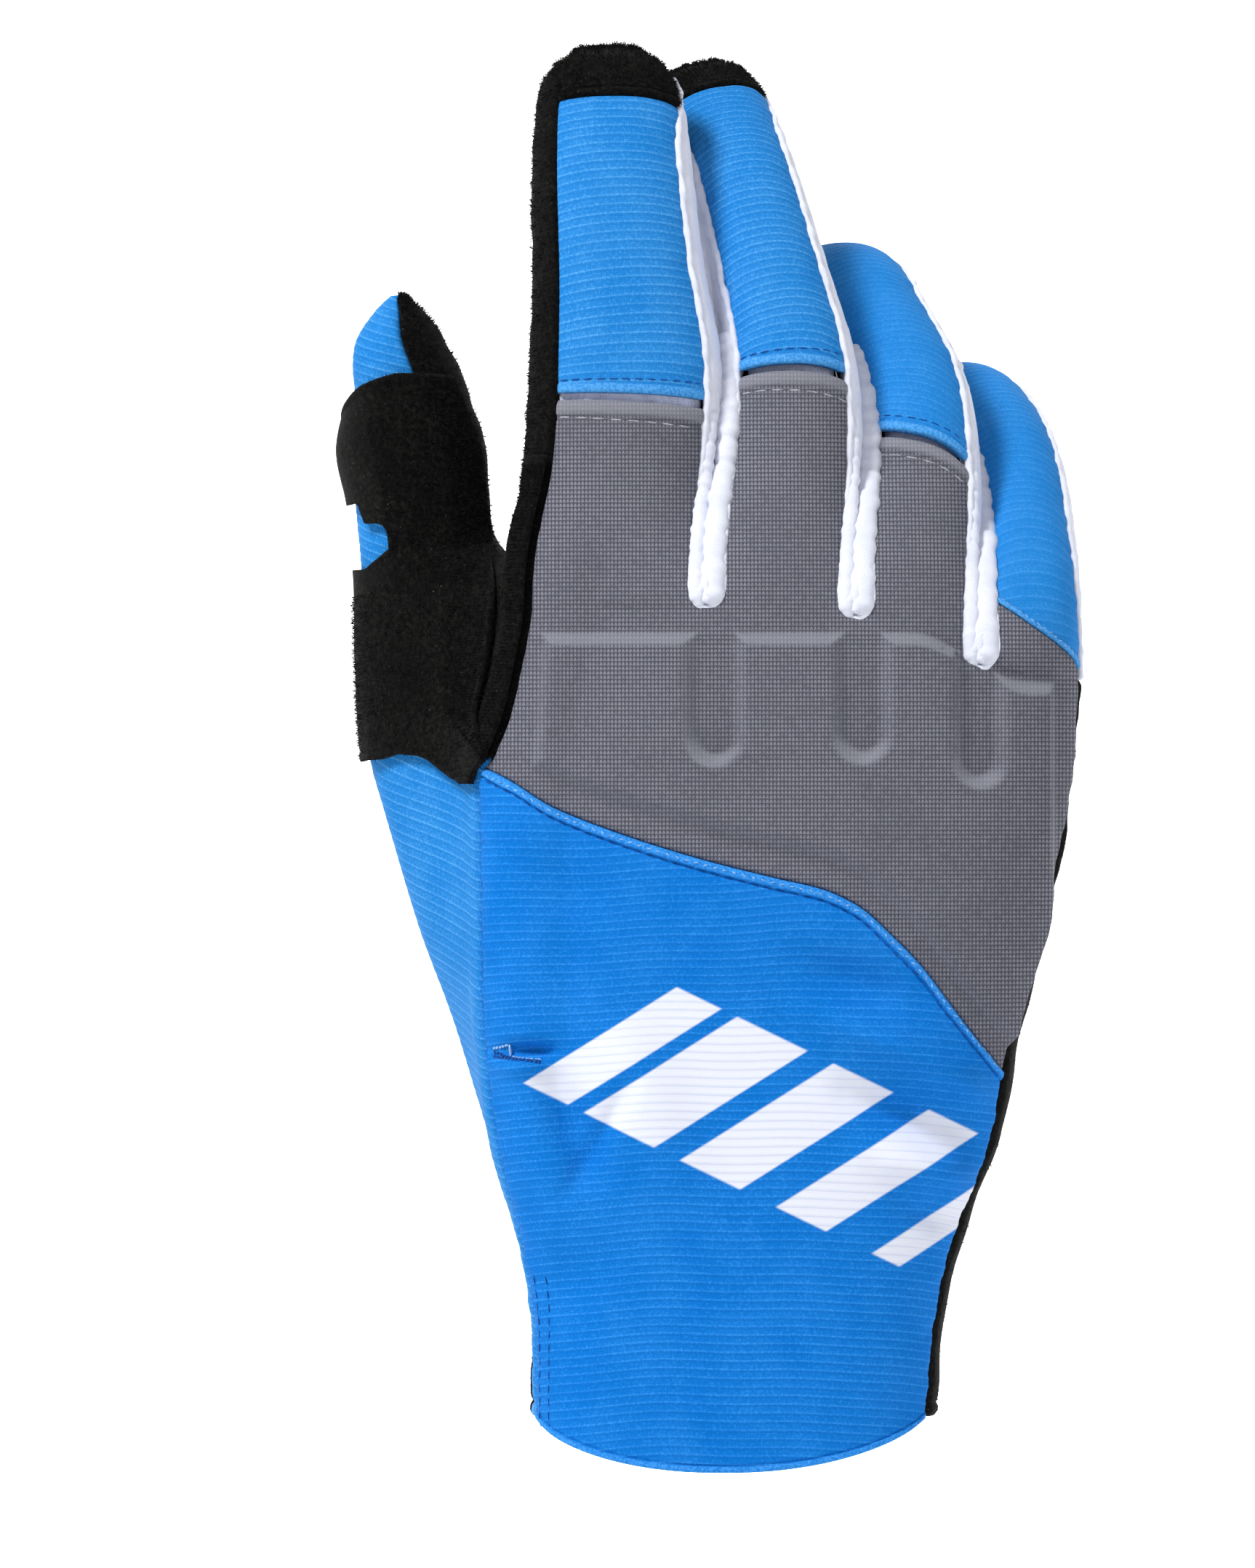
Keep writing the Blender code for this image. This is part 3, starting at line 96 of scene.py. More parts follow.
# The thumb's level sections: height as a share of its length above its heel, place left of the palm's edge and
# half width as shares of its width, place towards the palm and half depth as shares of its depth
THUMB_COLUMNS = ("up", "out", "deep", "half_width", "half_depth")
THUMB_ROWS = (
    (0.00, -0.75, 0.30, 0.50, 0.45),
    (0.12, -0.62, 0.42, 0.58, 0.52),
    (0.25, -0.47, 0.56, 0.57, 0.56),
    (0.37, -0.21, 0.70, 0.56, 0.57),
    (0.52, 0.12, 0.84, 0.53, 0.56),
    (0.61, 0.34, 0.92, 0.51, 0.54),
    (0.68, 0.50, 0.96, 0.49, 0.52),
    (0.79, 0.63, 1.00, 0.465, 0.48),
    (0.84, 0.69, 1.02, 0.490, 0.48),
    (0.90, 0.73, 1.03, 0.400, 0.44),
    (0.93, 0.78, 1.04, 0.367, 0.40),
    (0.957, 0.82, 1.04, 0.305, 0.36),
    (0.986, 0.83, 1.03, 0.170, 0.27),
    (1.00, 0.84, 1.02, 0.065, 0.20),
)

# Each finger's sections: how far along it is and where its middle lies, as shares of its length, then its half
# width as a share of its width and its half depth as a share of the fingers' depth
FINGER_COLUMNS = ("along", "right", "deep", "up", "half_width", "half_depth")
FINGER_ROWS = {
    "index": (
        (-0.15, 0.000, 0.000, -0.150, 0.510, 0.56),
        (0.00, 0.003, 0.010, 0.000, 0.500, 0.52),
        (0.22, 0.021, 0.020, 0.210, 0.485, 0.48),
        (0.40, 0.034, 0.040, 0.380, 0.484, 0.47),
        (0.60, 0.020, 0.085, 0.575, 0.428, 0.46),
        (0.80, 0.009, 0.150, 0.765, 0.397, 0.43),
        (0.92, 0.006, 0.200, 0.880, 0.360, 0.34),
        (0.97, 0.005, 0.222, 0.932, 0.290, 0.23),
        (1.00, 0.004, 0.236, 0.964, 0.170, 0.065),
    ),
    "middle": (
        (-0.15, 0.000, 0.010, -0.150, 0.505, 0.56),
        (0.00, 0.003, 0.015, 0.000, 0.500, 0.52),
        (0.22, 0.013, 0.045, 0.215, 0.492, 0.50),
        (0.36, 0.019, 0.085, 0.350, 0.470, 0.49),
        (0.56, -0.021, 0.165, 0.535, 0.425, 0.47),
        (0.74, -0.062, 0.265, 0.690, 0.405, 0.44),
        (0.90, -0.103, 0.375, 0.810, 0.400, 0.36),
        (0.97, -0.125, 0.425, 0.868, 0.345, 0.24),
        (1.00, -0.144, 0.450, 0.905, 0.220, 0.065),
    ),
    "ring": (
        (-0.15, 0.000, 0.015, -0.150, 0.510, 0.56),
        (0.00, 0.000, 0.025, 0.000, 0.500, 0.52),
        (0.20, 0.008, 0.055, 0.180, 0.500, 0.50),
        (0.38, 0.000, 0.115, 0.350, 0.495, 0.48),
        (0.55, -0.060, 0.215, 0.480, 0.485, 0.46),
        (0.72, -0.105, 0.350, 0.560, 0.480, 0.44),
        (0.88, -0.160, 0.500, 0.565, 0.440, 0.38),
        (0.97, -0.198, 0.585, 0.530, 0.360, 0.24),
        (1.00, -0.208, 0.608, 0.508, 0.250, 0.065),
    ),
    "pinky": (
        (-0.15, 0.000, 0.010, -0.150, 0.500, 0.54),
        (0.00, 0.000, 0.020, 0.000, 0.500, 0.50),
        (0.20, -0.006, 0.060, 0.190, 0.480, 0.47),
        (0.40, -0.026, 0.140, 0.365, 0.495, 0.44),
        (0.56, -0.065, 0.240, 0.465, 0.510, 0.42),
        (0.72, -0.120, 0.375, 0.525, 0.500, 0.40),
        (0.88, -0.180, 0.500, 0.510, 0.450, 0.34),
        (0.97, -0.222, 0.580, 0.470, 0.370, 0.22),
        (1.00, -0.236, 0.605, 0.450, 0.270, 0.065),
    ),
}

# The slanting seam between cuff and knuckle panel, across as a share of the knuckles' width, up of the palm's
# length
SLANT_SEAM = (
    (-0.460, 0.812), (-0.388, 0.786), (-0.314, 0.754), (-0.201, 0.722), (-0.064, 0.691), (0.061, 0.668),
    (0.149, 0.653), (0.211, 0.632), (0.268, 0.596), (0.323, 0.555), (0.374, 0.506), (0.418, 0.465),
    (0.470, 0.420),
)


class Table:
    """Reads a table's columns between its rows, along curves that never overshoot a row."""

    def __init__(self, columns: tuple[str, ...], rows: tuple[tuple[float, ...], ...]) -> None:
        """Works out each column's slopes.

        Args:
            columns: The columns' names. The first one is where each row lies.
            rows: The table's rows.
        """
        data = np.array(rows, float).T
        self.at, self.step = data[0], np.diff(data[0])
        self.curves = {}
        for column, value in zip(columns, data):
            slope = np.diff(value) / self.step
            tangent = np.concatenate([slope[:1], np.zeros(len(slope) - 1), slope[-1:]])
            same = slope[:-1] * slope[1:] > 0
            mean = 2 * slope[:-1] * slope[1:] / np.where(same, slope[:-1] + slope[1:], 1)
            tangent[1:-1] = np.where(same, mean, 0)
            self.curves[column] = (value, tangent)

    def read(self, column: str, where: Array | float) -> Array:
        """A column's value.

        Args:
            column: The column's name.
            where: Places along the first column.

        Returns:
            The values there.
        """
        where = np.clip(where, self.at[0], self.at[-1])
        k = np.clip(np.searchsorted(self.at, where) - 1, 0, len(self.at) - 2)
        t = (where - self.at[k]) / self.step[k]
        value, tangent = self.curves[column]
        return (
            (2 * t**3 - 3 * t**2 + 1) * value[k]
            + (t**3 - 2 * t**2 + t) * self.step[k] * tangent[k]
            + (3 * t**2 - 2 * t**3) * value[k + 1]
            + (t**3 - t**2) * self.step[k] * tangent[k + 1]
        )


def ease(t: Array | float) -> Array:
    """0 to 1 along a smooth step."""
    t = np.clip(t, 0, 1)
    return t * t * (3 - 2 * t)


def mix(a: Array | float, b: Array | float, share: Array | float) -> Array:
    """The value between a and b at this share."""
    return a + (b - a) * share


def bell(distance: Array, width: float) -> Array:
    """1 at no distance, fading over this width."""
    return np.exp(-((distance / width) ** 2))


def spline_weights(t: Array) -> Array:
    """Weights of the four points round a place between the middle two, for a curve through all points."""
    return np.stack([-t + 2 * t**2 - t**3, 2 - 5 * t**2 + 3 * t**3, t + 4 * t**2 - 3 * t**3, t**3 - t**2], -1) / 2


def read_line(values: Array, place: Array) -> Array:
    """Reads a line of evenly spaced values along a smooth curve.

    Args:
        values: One row of numbers for each station.
        place: Where to read, counted in stations.

    Returns:
        The values there.
    """
    place = np.clip(place, 0, len(values) - 1.0001)
    first = place.astype(int)
    four = np.clip(first[..., None] + np.arange(-1, 3), 0, len(values) - 1)
    weights = spline_weights(place - first)
    if values.ndim == 1:
        return (values[four] * weights).sum(-1)
    return np.einsum("...ik,...i->...k", values[four], weights)


def walked(line: Array) -> Array:
    """How far along a line each of its points lies."""
    return np.pad(np.cumsum(np.linalg.norm(np.diff(line, axis=0), axis=1)), (1, 0))


def resample(line: Array, walk: Array, at: Array) -> Array:
    """The points of a line at other places than its own, which walk gives."""
    return np.stack([np.interp(at, walk, column) for column in line.T], 1)


def even_line(line: Array, step: float) -> Array:
    """The same line with points this far apart."""
    walk = walked(line)
    return resample(line, walk, np.linspace(0, walk[-1], max(2, round(walk[-1] / step) + 1)))


def only(kind: type, parts: list) -> list:
    """Those parts of a mesh that are of this kind."""
    return [part for part in parts if isinstance(part, kind)]


def between(stops: list[float], count: int) -> Array:
    """Even steps, this many from each stop to the next, with the last stop."""
    return np.concatenate([np.linspace(a, b, count + 1)[:-1] for a, b in zip(stops, stops[1:])] + [stops[-1:]])


def wander(s: Array, period: float, seed: float) -> Array:
    """A smooth uneven wave from about -1 to 1.

    Args:
        s: Where along it, in metres.
        period: Its main period, in metres.
        seed: Any number, which shifts the wave.

    Returns:
        The wave's height.
    """
    turn = 2 * math.pi * s / period
    return (np.sin(turn + seed) + 0.7 * np.sin(1.73 * turn + 2.1 * seed) + 0.5 * np.sin(0.61 * turn - seed)) / 1.7


def round_off(points: Array, middle: Array, outward: Array, onward: Array, reach: float = 0.8) -> Array:
    """Adds rows to a grid that round its open last row off to a line through the middle.

    Args:
        points: The grid.
        middle: The middle of the open end.
        outward: The unit way from that line across the opening.
        onward: The unit way out of the opening.
        reach: How far the end is drawn on, as a share of each point's distance from the line.

    Returns:
        The longer grid.
    """
    out = ((points[-1] - middle) @ outward)[:, None]
    rows = [
        points[-1] - outward * out * (1 - math.cos(turn)) + onward * np.abs(out) * reach * math.sin(turn)
        for turn in np.linspace(0, math.pi / 2, TIP_ROWS + 1)[1:]
    ]
    return np.concatenate([points, rows])


@dataclass
class Hand:
    """The skin of the invisible hand, from which every panel is cut. All lengths are in metres."""

    palm_length: float = 131.8 * MM
    palm_depth: float = 36.0 * MM
    cuff_dip: float = 8.6 * MM
    widths: dict[str, float] = field(default_factory=lambda: dict(
        index=32.5 * MM, middle=23.5 * MM, ring=19.5 * MM, pinky=16.8 * MM))
    lengths: dict[str, float] = field(default_factory=lambda: dict(
        index=96.0 * MM, middle=100.0 * MM, ring=96.0 * MM, pinky=82.0 * MM))
    finger_depth: float = 23.0 * MM
    finger_spacing: float = 0.8 * MM
    thumb_length: float = 164.0 * MM
    thumb_width: float = 24.0 * MM
    thumb_depth: float = 23.0 * MM
    thumb_strip_width: float = 4.0 * MM
    least_radius: float = 1.38 * MM
    fork_half_width: float = 2.6 * MM
    fork_rounding: float = 3.0 * MM
    palm_fork_rise: float = 8.0 * MM
    web_rise: float = 6.0 * MM
    blend_height: float = 24.0 * MM
    thumb_blend_height: float = 14.0 * MM
    level_step: float = 2.0 * MM
    outline_points: int = 720
    outline_smoothing: int = 13
    strip_points: int = 61
    web_ovals: int = 9
    web_root: tuple[float, float, float] = (0.80, 0.76, 0.84)
    web_waist: float = 0.30
    web_waist_up: tuple[float, float] = (0.55, 0.4)
    slab_power: float = 2.5
    tube_power: float = 2.2
    thumb_heel_up: float = 0.15
    thumb_back_seams: tuple[float, float] = (20.0, -125.0)
    thumb_neck_seams: tuple[float, float] = (60.0, 140.0)
    palm_neck: float = 222.0
    thumb_swing: tuple[float, float] = (0.12, 0.33)
    thumb_front_end_up: float = 11 / 24
    web_end_up: float = 0.805
    back_seams: dict[str, tuple[float, float]] = field(default_factory=lambda: dict(
        index=(-43.0, 58.0), middle=(-50.0, 57.0), ring=(-48.0, 55.0), pinky=(-52.0, 58.0)))
    front_seam: float = 126.0
    index_neck_seams: tuple[float, float] = (215.0, 285.0)
    tip_join: float = 0.95
    outer_join: float = 0.92
    tip_sides: tuple[float, float] = (91.0, 269.0)
    fork_ups: tuple[float, ...] = (1.0, 1.0, 0.987, 0.926, 0.912)
    lobe_top: dict[str, float] = field(default_factory=lambda: dict(
        index=0.355, middle=0.368, ring=0.298, pinky=0.12))
    pinky_lobe_right: float = 0.15
    cap_start: dict[str, float] = field(default_factory=lambda: dict(
        index=0.888, middle=0.915, ring=1.0, pinky=1.0))
    vent_height: float = 1.4 * MM

    def __post_init__(self) -> None:
        """Works out the palm's outlines and the fingers' lines."""
        self.palm = Table(PALM_COLUMNS, PALM_ROWS)
        self.thumb = Table(THUMB_COLUMNS, THUMB_ROWS)
        self.slant = Table(("x", "z"), SLANT_SEAM)
        self.knuckle_width = sum(self.widths.values()) + 3 * self.finger_spacing
        self.levels = np.arange(
            -self.cuff_dip - self.level_step,
            self.palm_length + self.palm_fork_rise + 2 * self.level_step,
            self.level_step,
        )
        cut = [self.level_strips(z) for z in self.levels]
        self.strips = {name: np.array([level[name] for level in cut]) for name in cut[0]}
        self.bases = self.finger_bases()
        forks = [
            (self.bases[a][0] + self.widths[a] / 2 + self.bases[b][0] - self.widths[b] / 2) / 2
            for a, b in zip(FINGERS, FINGERS[1:])
        ]
        ups = np.array(self.fork_ups[1:4]) * self.palm_length
        self.back_forks = [0.0, *(self.fork_share("back", x, z) for x, z in zip(forks, ups)), 1.0]
        palm = [self.fork_share("palm", x, z + self.palm_fork_rise) for x, z in zip(forks, ups)]
        self.palm_forks = [0.0, *palm[::-1], 1.0]
        self.stations = np.linspace(-0.15, 1, 93)
        self.lines = self.finger_lines()
        self.thumb_top = self.thumb_heel_up * self.palm_length + self.thumb_length

    def palm_section(self, z: Array | float) -> dict[str, Array]:
        """Middle, half sizes and back seams of the palm's level section.

        Args:
            z: Heights.

        Returns:
            The section's places by name.
        """
        up = z / self.palm_length
        left, right = (self.palm.read(side, up) * self.knuckle_width for side in ("left", "right"))
        back, front = (self.palm.read(side, up) * self.palm_depth for side in ("back", "front"))
        middle, half = (left + right) / 2, (right - left) / 2
        return {
            "x": middle, "y": (back + front) / 2, "a": half, "b": (front - back) / 2, "left": left,
            "left_seam": middle + self.palm.read("left_seam", up) * half,
            "right_seam": middle + self.palm.read("right_seam", up) * half,
        }

    def thumb_section(self, z: Array | float) -> dict[str, Array]:
        """Middle and half sizes of the thumb's level section.

        Args:
            z: Heights.

        Returns:
            The section's places by name.
        """
        up = np.clip((z - self.thumb_heel_up * self.palm_length) / self.thumb_length, 0, 1)
        return {
            "x": self.palm_section(z)["left"] - self.thumb.read("out", up) * self.thumb_width,
            "y": self.thumb.read("deep", up) * self.thumb_depth,
            "a": np.maximum(self.thumb.read("half_width", up) * self.thumb_width, self.least_radius),
            "b": np.maximum(self.thumb.read("half_depth", up) * self.thumb_depth, self.least_radius),
        }

    @staticmethod
    def oval_point(section: dict[str, Array], degrees: Array | float, power: float) -> tuple[Array, Array]:
        """A point of a level section.

        Args:
            section: The section's middle and half sizes.
            degrees: The angle from the side that faces -Y, right side positive.
            power: How square the oval is.

        Returns:
            The point's X and Y.
        """
        sine, cosine = np.sin(np.radians(degrees)), np.cos(np.radians(degrees))
        x = section["x"] + section["a"] * np.sign(sine) * np.abs(sine) ** (2 / power)
        y = section["y"] - section["b"] * np.sign(cosine) * np.abs(cosine) ** (2 / power)
        return x, y

    @staticmethod
    def within(oval: Array, points: Array, power: float) -> Array:
        """Which points lie inside an oval given by its middle and half sizes."""
        x, y, a, b = oval
        return np.abs((points[:, 0] - x) / a) ** power + np.abs((points[:, 1] - y) / b) ** power < 1

    def level_outline(self, z: float) -> tuple[Array, Array]:
        """The glove's outline at a height below the thumb's fork.

        Args:
            z: The height.

        Returns:
            Each point's turn round the palm, and the points.
        """
        palm, thumb = self.palm_section(z), self.thumb_section(z)
        slab = np.array([palm["x"], palm["y"], palm["a"], palm["b"]])
        inset, wide, deep = (share * palm["b"] for share in self.web_root)
        start = np.array([palm["left"] + inset, palm["y"], wide, deep])
        end = np.array([thumb["x"], thumb["y"], thumb["a"], thumb["b"]])
        # A row of ovals between palm and thumb makes the web, with a waist towards the fork
        shares = np.linspace(0, 1, self.web_ovals)
        web = mix(start, end, shares[:, None])
        waist_up, waist_rise = self.web_waist_up
        narrow = self.web_waist * np.sin(math.pi * shares) * ease((z / self.palm_length - waist_up) / waist_rise)
        web[:, 2:] *= 1 - narrow[:, None]
        turn = np.linspace(0, 2 * math.pi, self.outline_points, endpoint=False)
        way = np.stack([np.sin(turn), -np.cos(turn)], 1)
        low, high = np.zeros(len(turn)), np.full(len(turn), 2 * self.knuckle_width)
        for _ in range(24):
            radius = (low + high) / 2
            points = start[:2] + way * radius[:, None]
            inside = self.within(slab, points, self.slab_power)
            for oval in web:
                inside |= self.within(oval, points, self.tube_power)
            low, high = np.where(inside, radius, low), np.where(inside, high, radius)
        reach = self.outline_smoothing
        kernel = np.hanning(2 * reach + 3)[1:-1]
        radius = np.convolve(np.pad(low, reach, mode="wrap"), kernel / kernel.sum(), "valid")
        return turn, start[:2] + way * radius[:, None]

    def level_strips(self, z: float) -> dict[str, Array]:
        """The outline at height z, cut at the seams.

        Args:
            z: The height.

        Returns:
            Each strip's evenly spaced points by its name.
        """
        palm, thumb, up = self.palm_section(z), self.thumb_section(z), z / self.palm_length
        turn, outline = self.level_outline(z)
        walk = walked(outline)
        total = walk[-1] + np.linalg.norm(outline[0] - outline[-1])

        def nearest(x: float, y: float) -> float:
            """How far round the outline its point nearest to this place is."""
            return walk[np.argmin(np.hypot(outline[:, 0] - x, outline[:, 1] - y))]

        # The back runs from the outline's last quarter over its start to its first quarter
        quarter = self.outline_points // 4
        back = np.roll(outline, quarter, axis=0)[: 2 * quarter]
        back_walk = np.roll(np.where(turn > math.pi, walk - total, walk), quarter)[: 2 * quarter]
        cuff_left = total + np.interp(palm["left_seam"], back[:, 0], back_walk)
        cuff_right = np.interp(palm["right_seam"], back[:, 0], back_walk)
        side_front = nearest(*self.oval_point(palm, self.front_seam, self.slab_power))
        neck_front = nearest(*self.oval_point(palm, self.palm_neck, self.slab_power))
        front_seam, back_seam = self.thumb_back_seams
        blue_outer = nearest(*self.oval_point(thumb, back_seam, self.tube_power))
        blue_inner = nearest(*self.oval_point(thumb, front_seam, self.tube_power))
        swing_up, swing = self.thumb_swing
        blue_outer = mix(cuff_left - self.thumb_strip_width, blue_outer, ease((up - swing_up) / swing))
        opened = ease((up - self.web_end_up) / 0.07)
        blue_inner = mix(cuff_left, min(blue_inner, cuff_left), opened)
        neck_back = mix(blue_inner, cuff_left, 0.55)
        neck_front = min(neck_front, blue_outer)
        neck_front = mix(blue_outer, neck_front, ease((up - self.thumb_front_end_up) / 0.2))
        ends = {
            "back": (cuff_left - total, cuff_right), "right": (cuff_right, side_front),
            "palm": (side_front, neck_front), "thumb_front": (neck_front, blue_outer),
            "thumb_back": (blue_outer, blue_inner), "web": (blue_inner, neck_back),
            "edge": (neck_back, cuff_left),
        }
        closed_walk = np.concatenate([walk - total, walk, walk + total])
        closed = np.concatenate([outline, outline, outline])
        strips = {}
        for name, (first, last) in ends.items():
            strips[name] = resample(closed, closed_walk, np.linspace(first, last, self.strip_points))
        return strips

    def palm_point(self, strip: str, share: Array | float, z: Array | float) -> Array:
        """A point of the palm's skin.

        Args:
            strip: The stretch between two seams.
            share: How far across the strip, from 0 to 1.
            z: The height.

        Returns:
            The point.
        """
        share, z = np.broadcast_arrays(np.asarray(share, float), np.asarray(z, float))
        grid = self.strips[strip]
        row = np.clip((z - self.levels[0]) / self.level_step, 0, len(self.levels) - 1.001)
        column = np.clip(share, 0, 1) * (self.strip_points - 1.001)
        r, c = row.astype(int), column.astype(int)
        rows = np.clip(r[..., None] + np.arange(-1, 3), 0, len(grid) - 1)
        columns = np.clip(c[..., None] + np.arange(-1, 3), 0, self.strip_points - 1)
        near = grid[rows[..., :, None], columns[..., None, :]]
        flat = np.einsum("...ijk,...i,...j->...k", near, spline_weights(row - r), spline_weights(column - c))
        return np.concatenate([flat, z[..., None]], -1)

    def fork_share(self, strip: str, x: float, z: float) -> float:
        """Where across a strip the skin passes x at height z."""
        shares = np.linspace(0, 1, 201)
        line = self.palm_point(strip, shares, z)[:, 0]
        order = np.argsort(line)
        return float(np.interp(x, line[order], shares[order]))

    def finger_bases(self) -> dict[str, Array]:
        """The middle of each finger where it leaves the palm."""
        left = self.palm_section(self.palm_length)["left"]
        bases = {}
        for name, up in zip(FINGERS, (1.0, *self.fork_ups[1:4])):
            bases[name] = np.array([left + self.widths[name] / 2, 0.0, up * self.palm_length])
            left += self.widths[name] + self.finger_spacing
        return bases

    def back_top(self, share: Array | float) -> Array:
        """Height where the back strip ends and the fingers begin."""
        return np.interp(share, self.back_forks, np.array(self.fork_ups) * self.palm_length)

    def palm_top(self, share: Array | float) -> Array:
        """Height where the palm strip ends and the fingers begin."""
        rise = np.array([0, 1, 1, 1, 0]) * self.palm_fork_rise
        return np.interp(share, self.palm_forks, np.array(self.fork_ups[::-1]) * self.palm_length + rise)

    def finger_line(self, name: str) -> list[Array]:
        """Middle points, half widths and half depths of a finger at its stations."""
        table, length = Table(FINGER_COLUMNS, FINGER_ROWS[name]), self.lengths[name]
        offset = np.stack([table.read(c, self.stations) for c in ("right", "deep", "up")], 1) * length
        half_width = table.read("half_width", self.stations) * self.widths[name]
        half_depth = table.read("half_depth", self.stations) * self.finger_depth
        return [self.bases[name] + offset, half_width, np.maximum(half_depth, self.least_radius)]

    def clear_of(self, line: list[Array], neighbour: list[Array]) -> None:
        """Moves a finger to the palm's side wherever it would touch the finger before it."""
        middles, widths, depths = line
        others, other_widths, other_depths = neighbour
        kernel = np.exp(-np.linspace(-2, 2, 25) ** 2)
        kernel /= kernel.sum()
        free = self.stations > 0.02
        for _ in range(80):
            apart = middles[:, None, :] - others[None, free, :]
            distance = np.linalg.norm(apart, axis=2)
            sideways = np.clip(np.abs(apart[..., 0]) / np.maximum(distance, 1e-9), 0, 1)
            reach = mix(depths[:, None], widths[:, None], sideways)
            other_reach = mix(other_depths[free][None, :], other_widths[free][None, :], sideways)
            lack = (reach + other_reach + self.finger_spacing - distance).max(1)
            lack = np.where(free, np.clip(lack, 0, None), 0)
            if lack.max() < 0.05 * MM:
                break
            push = np.maximum.accumulate(np.convolve(np.pad(lack, 12, mode="edge"), kernel, "valid"))
            middles[:, 1] += 0.6 * push * ease(self.stations / 0.25)

    def finger_lines(self) -> dict[str, list[Array]]:
        """Each finger's line, one after the other so that none touches the one before it."""
        lines: dict[str, list[Array]] = {}
        kernel = np.hanning(21)[1:-1]
        for number, name in enumerate(FINGERS):
            line = self.finger_line(name)
            if number:
                self.clear_of(line, lines[FINGERS[number - 1]])
            middles = line[0]
            start = 2 * middles[0] - middles[9:0:-1]
            end = 2 * middles[-1] - middles[-2:-11:-1]
            longer = np.concatenate([start, middles, end])
            line[0] = np.stack([np.convolve(longer[:, k], kernel / kernel.sum(), "valid") for k in range(3)], 1)
            lines[name] = line
        return lines

    def tube_point(self, name: str, along: Array | float, degrees: Array | float) -> Array:
        """A point of a free finger's skin.

        Args:
            name: The finger.
            along: The share along the finger.
            degrees: The angle from the middle of its back, right side positive.

        Returns:
            The point.
        """
        along, degrees = np.broadcast_arrays(np.asarray(along, float), np.asarray(degrees, float))
        middles, widths, depths = self.lines[name]
        first, last = self.stations[0], self.stations[-1]
        place = (np.clip(along, first, last) - first) / (last - first) * (len(self.stations) - 1)
        middle = read_line(middles, place)
        tangent = read_line(np.gradient(middles, axis=0), place)
        tangent /= np.linalg.norm(tangent, axis=-1, keepdims=True)
        right = np.array([1.0, 0, 0]) - tangent * tangent[..., :1]
        right /= np.linalg.norm(right, axis=-1, keepdims=True)
        outward = np.cross(right, tangent)
        sine, cosine = np.sin(np.radians(degrees)), np.cos(np.radians(degrees))
        across = read_line(widths, place) * np.sign(sine) * np.abs(sine) ** (2 / self.tube_power)
        out = read_line(depths, place) * np.sign(cosine) * np.abs(cosine) ** (2 / self.tube_power)
        return middle + right * across[..., None] + outward * out[..., None]

    def seam_degrees(self, degrees: float, along: Array) -> Array:
        """A finger's seam angle, closing to the side of the finger at its tip.

        The palm's fold along the thumb's fork stays open, and the index finger's outer seam closes late.

        Args:
            degrees: The seam's angle on the free finger.
            along: Shares along the finger.

        Returns:
            The seam's angles there.
        """
        if degrees == self.index_neck_seams[0]:
            return degrees + 0 * along
        turns = 360 * math.floor(degrees / 360)
        side = self.tip_sides[0 if degrees - turns < 180 else 1]
        if degrees - turns == self.back_seams["index"][0] % 360:
            return mix(degrees, side + turns, ease((along - self.outer_join) / (1 - self.outer_join)))
        closing = 0.8 * ease((along - 0.80) / (self.tip_join - 0.80))
        closing = closing + 0.2 * ease((along - self.tip_join) / (0.6 * (1 - self.tip_join)))
        return mix(degrees, side + turns, closing)

    def finger_grid(self, name: str, base: Array, rows: Array, seams: tuple[float, float], across: Array,
                    shift: Array | float) -> Array:
        """Points of a finger between two seams.

        Args:
            name: The finger.
            base: A point for each column where the finger leaves the palm.
            rows: Shares along the finger, for each row or for each point.
            seams: The two seams' angles.
            across: Each column's share between the seams.
            shift: Each column's way across at a fork.

        Returns:
            The points.
        """
        rows = np.asarray(rows, float)
        if rows.ndim == 1:
            rows = rows[:, None] + np.zeros(len(across))
        height = rows * self.lengths[name]
        along = rows + (base[:, 2] - self.bases[name][2]) / self.lengths[name] * (1 - rows)
        start, end = (self.seam_degrees(seam, along) for seam in seams)
        tube = self.tube_point(name, along, mix(start, end, across))
        lifted = np.repeat(base[None], len(rows), 0)
        inside = np.clip(1 - np.clip(height, 0, None) / self.fork_rounding, 0, 1)
        lifted[..., 0] += shift * self.fork_half_width * np.sqrt(1 - inside**2)
        lifted[..., 2] += height
        return mix(lifted, tube, ease(height / self.blend_height)[..., None])

    def finger_back(self, name: str, rows: Array, across: Array) -> Array:
        """The back of a finger; across runs from its left to its right seam."""
        number = FINGERS.index(name)
        share = mix(self.back_forks[number], self.back_forks[number + 1], across)
        shift = (number > 0) * (1 - across) - (number < 3) * across
        base = self.palm_point("back", share, self.back_top(share))
        return self.finger_grid(name, base, rows, self.back_seams[name], across, shift)

    def fork_line(self, number: int, across: Array) -> Array:
        """The bottom of the fork after a finger, from the back to the palm."""
        back = self.palm_point("back", self.back_forks[number + 1], self.back_top(self.back_forks[number + 1]))
        share = self.palm_forks[3 - number]
        line = mix(back, self.palm_point("palm", share, self.palm_top(share)), across[:, None])
        line[:, 2] += self.web_rise * np.sin(math.pi * across)
        return line

    @staticmethod
    def fork_opening(across: Array | float) -> Array:
        """How far a finger's side stands back at a fork: fully at its back seam, hardly further in."""
        return 1 - 0.9 * ease(np.asarray(across) / 0.6)

    def right_side(self, name: str, rows: Array, across: Array) -> Array:
        """A finger's right side; across runs from its back seam to its palm seam."""
        number = FINGERS.index(name)
        if number < 3:
            base = self.fork_line(number, across)
        else:
            base = self.palm_point("right", across, self.fork_ups[4] * self.palm_length)
        seams = (self.back_seams[name][1], self.front_seam)
        return self.finger_grid(name, base, rows, seams, across, -self.fork_opening(across) * (number < 3))

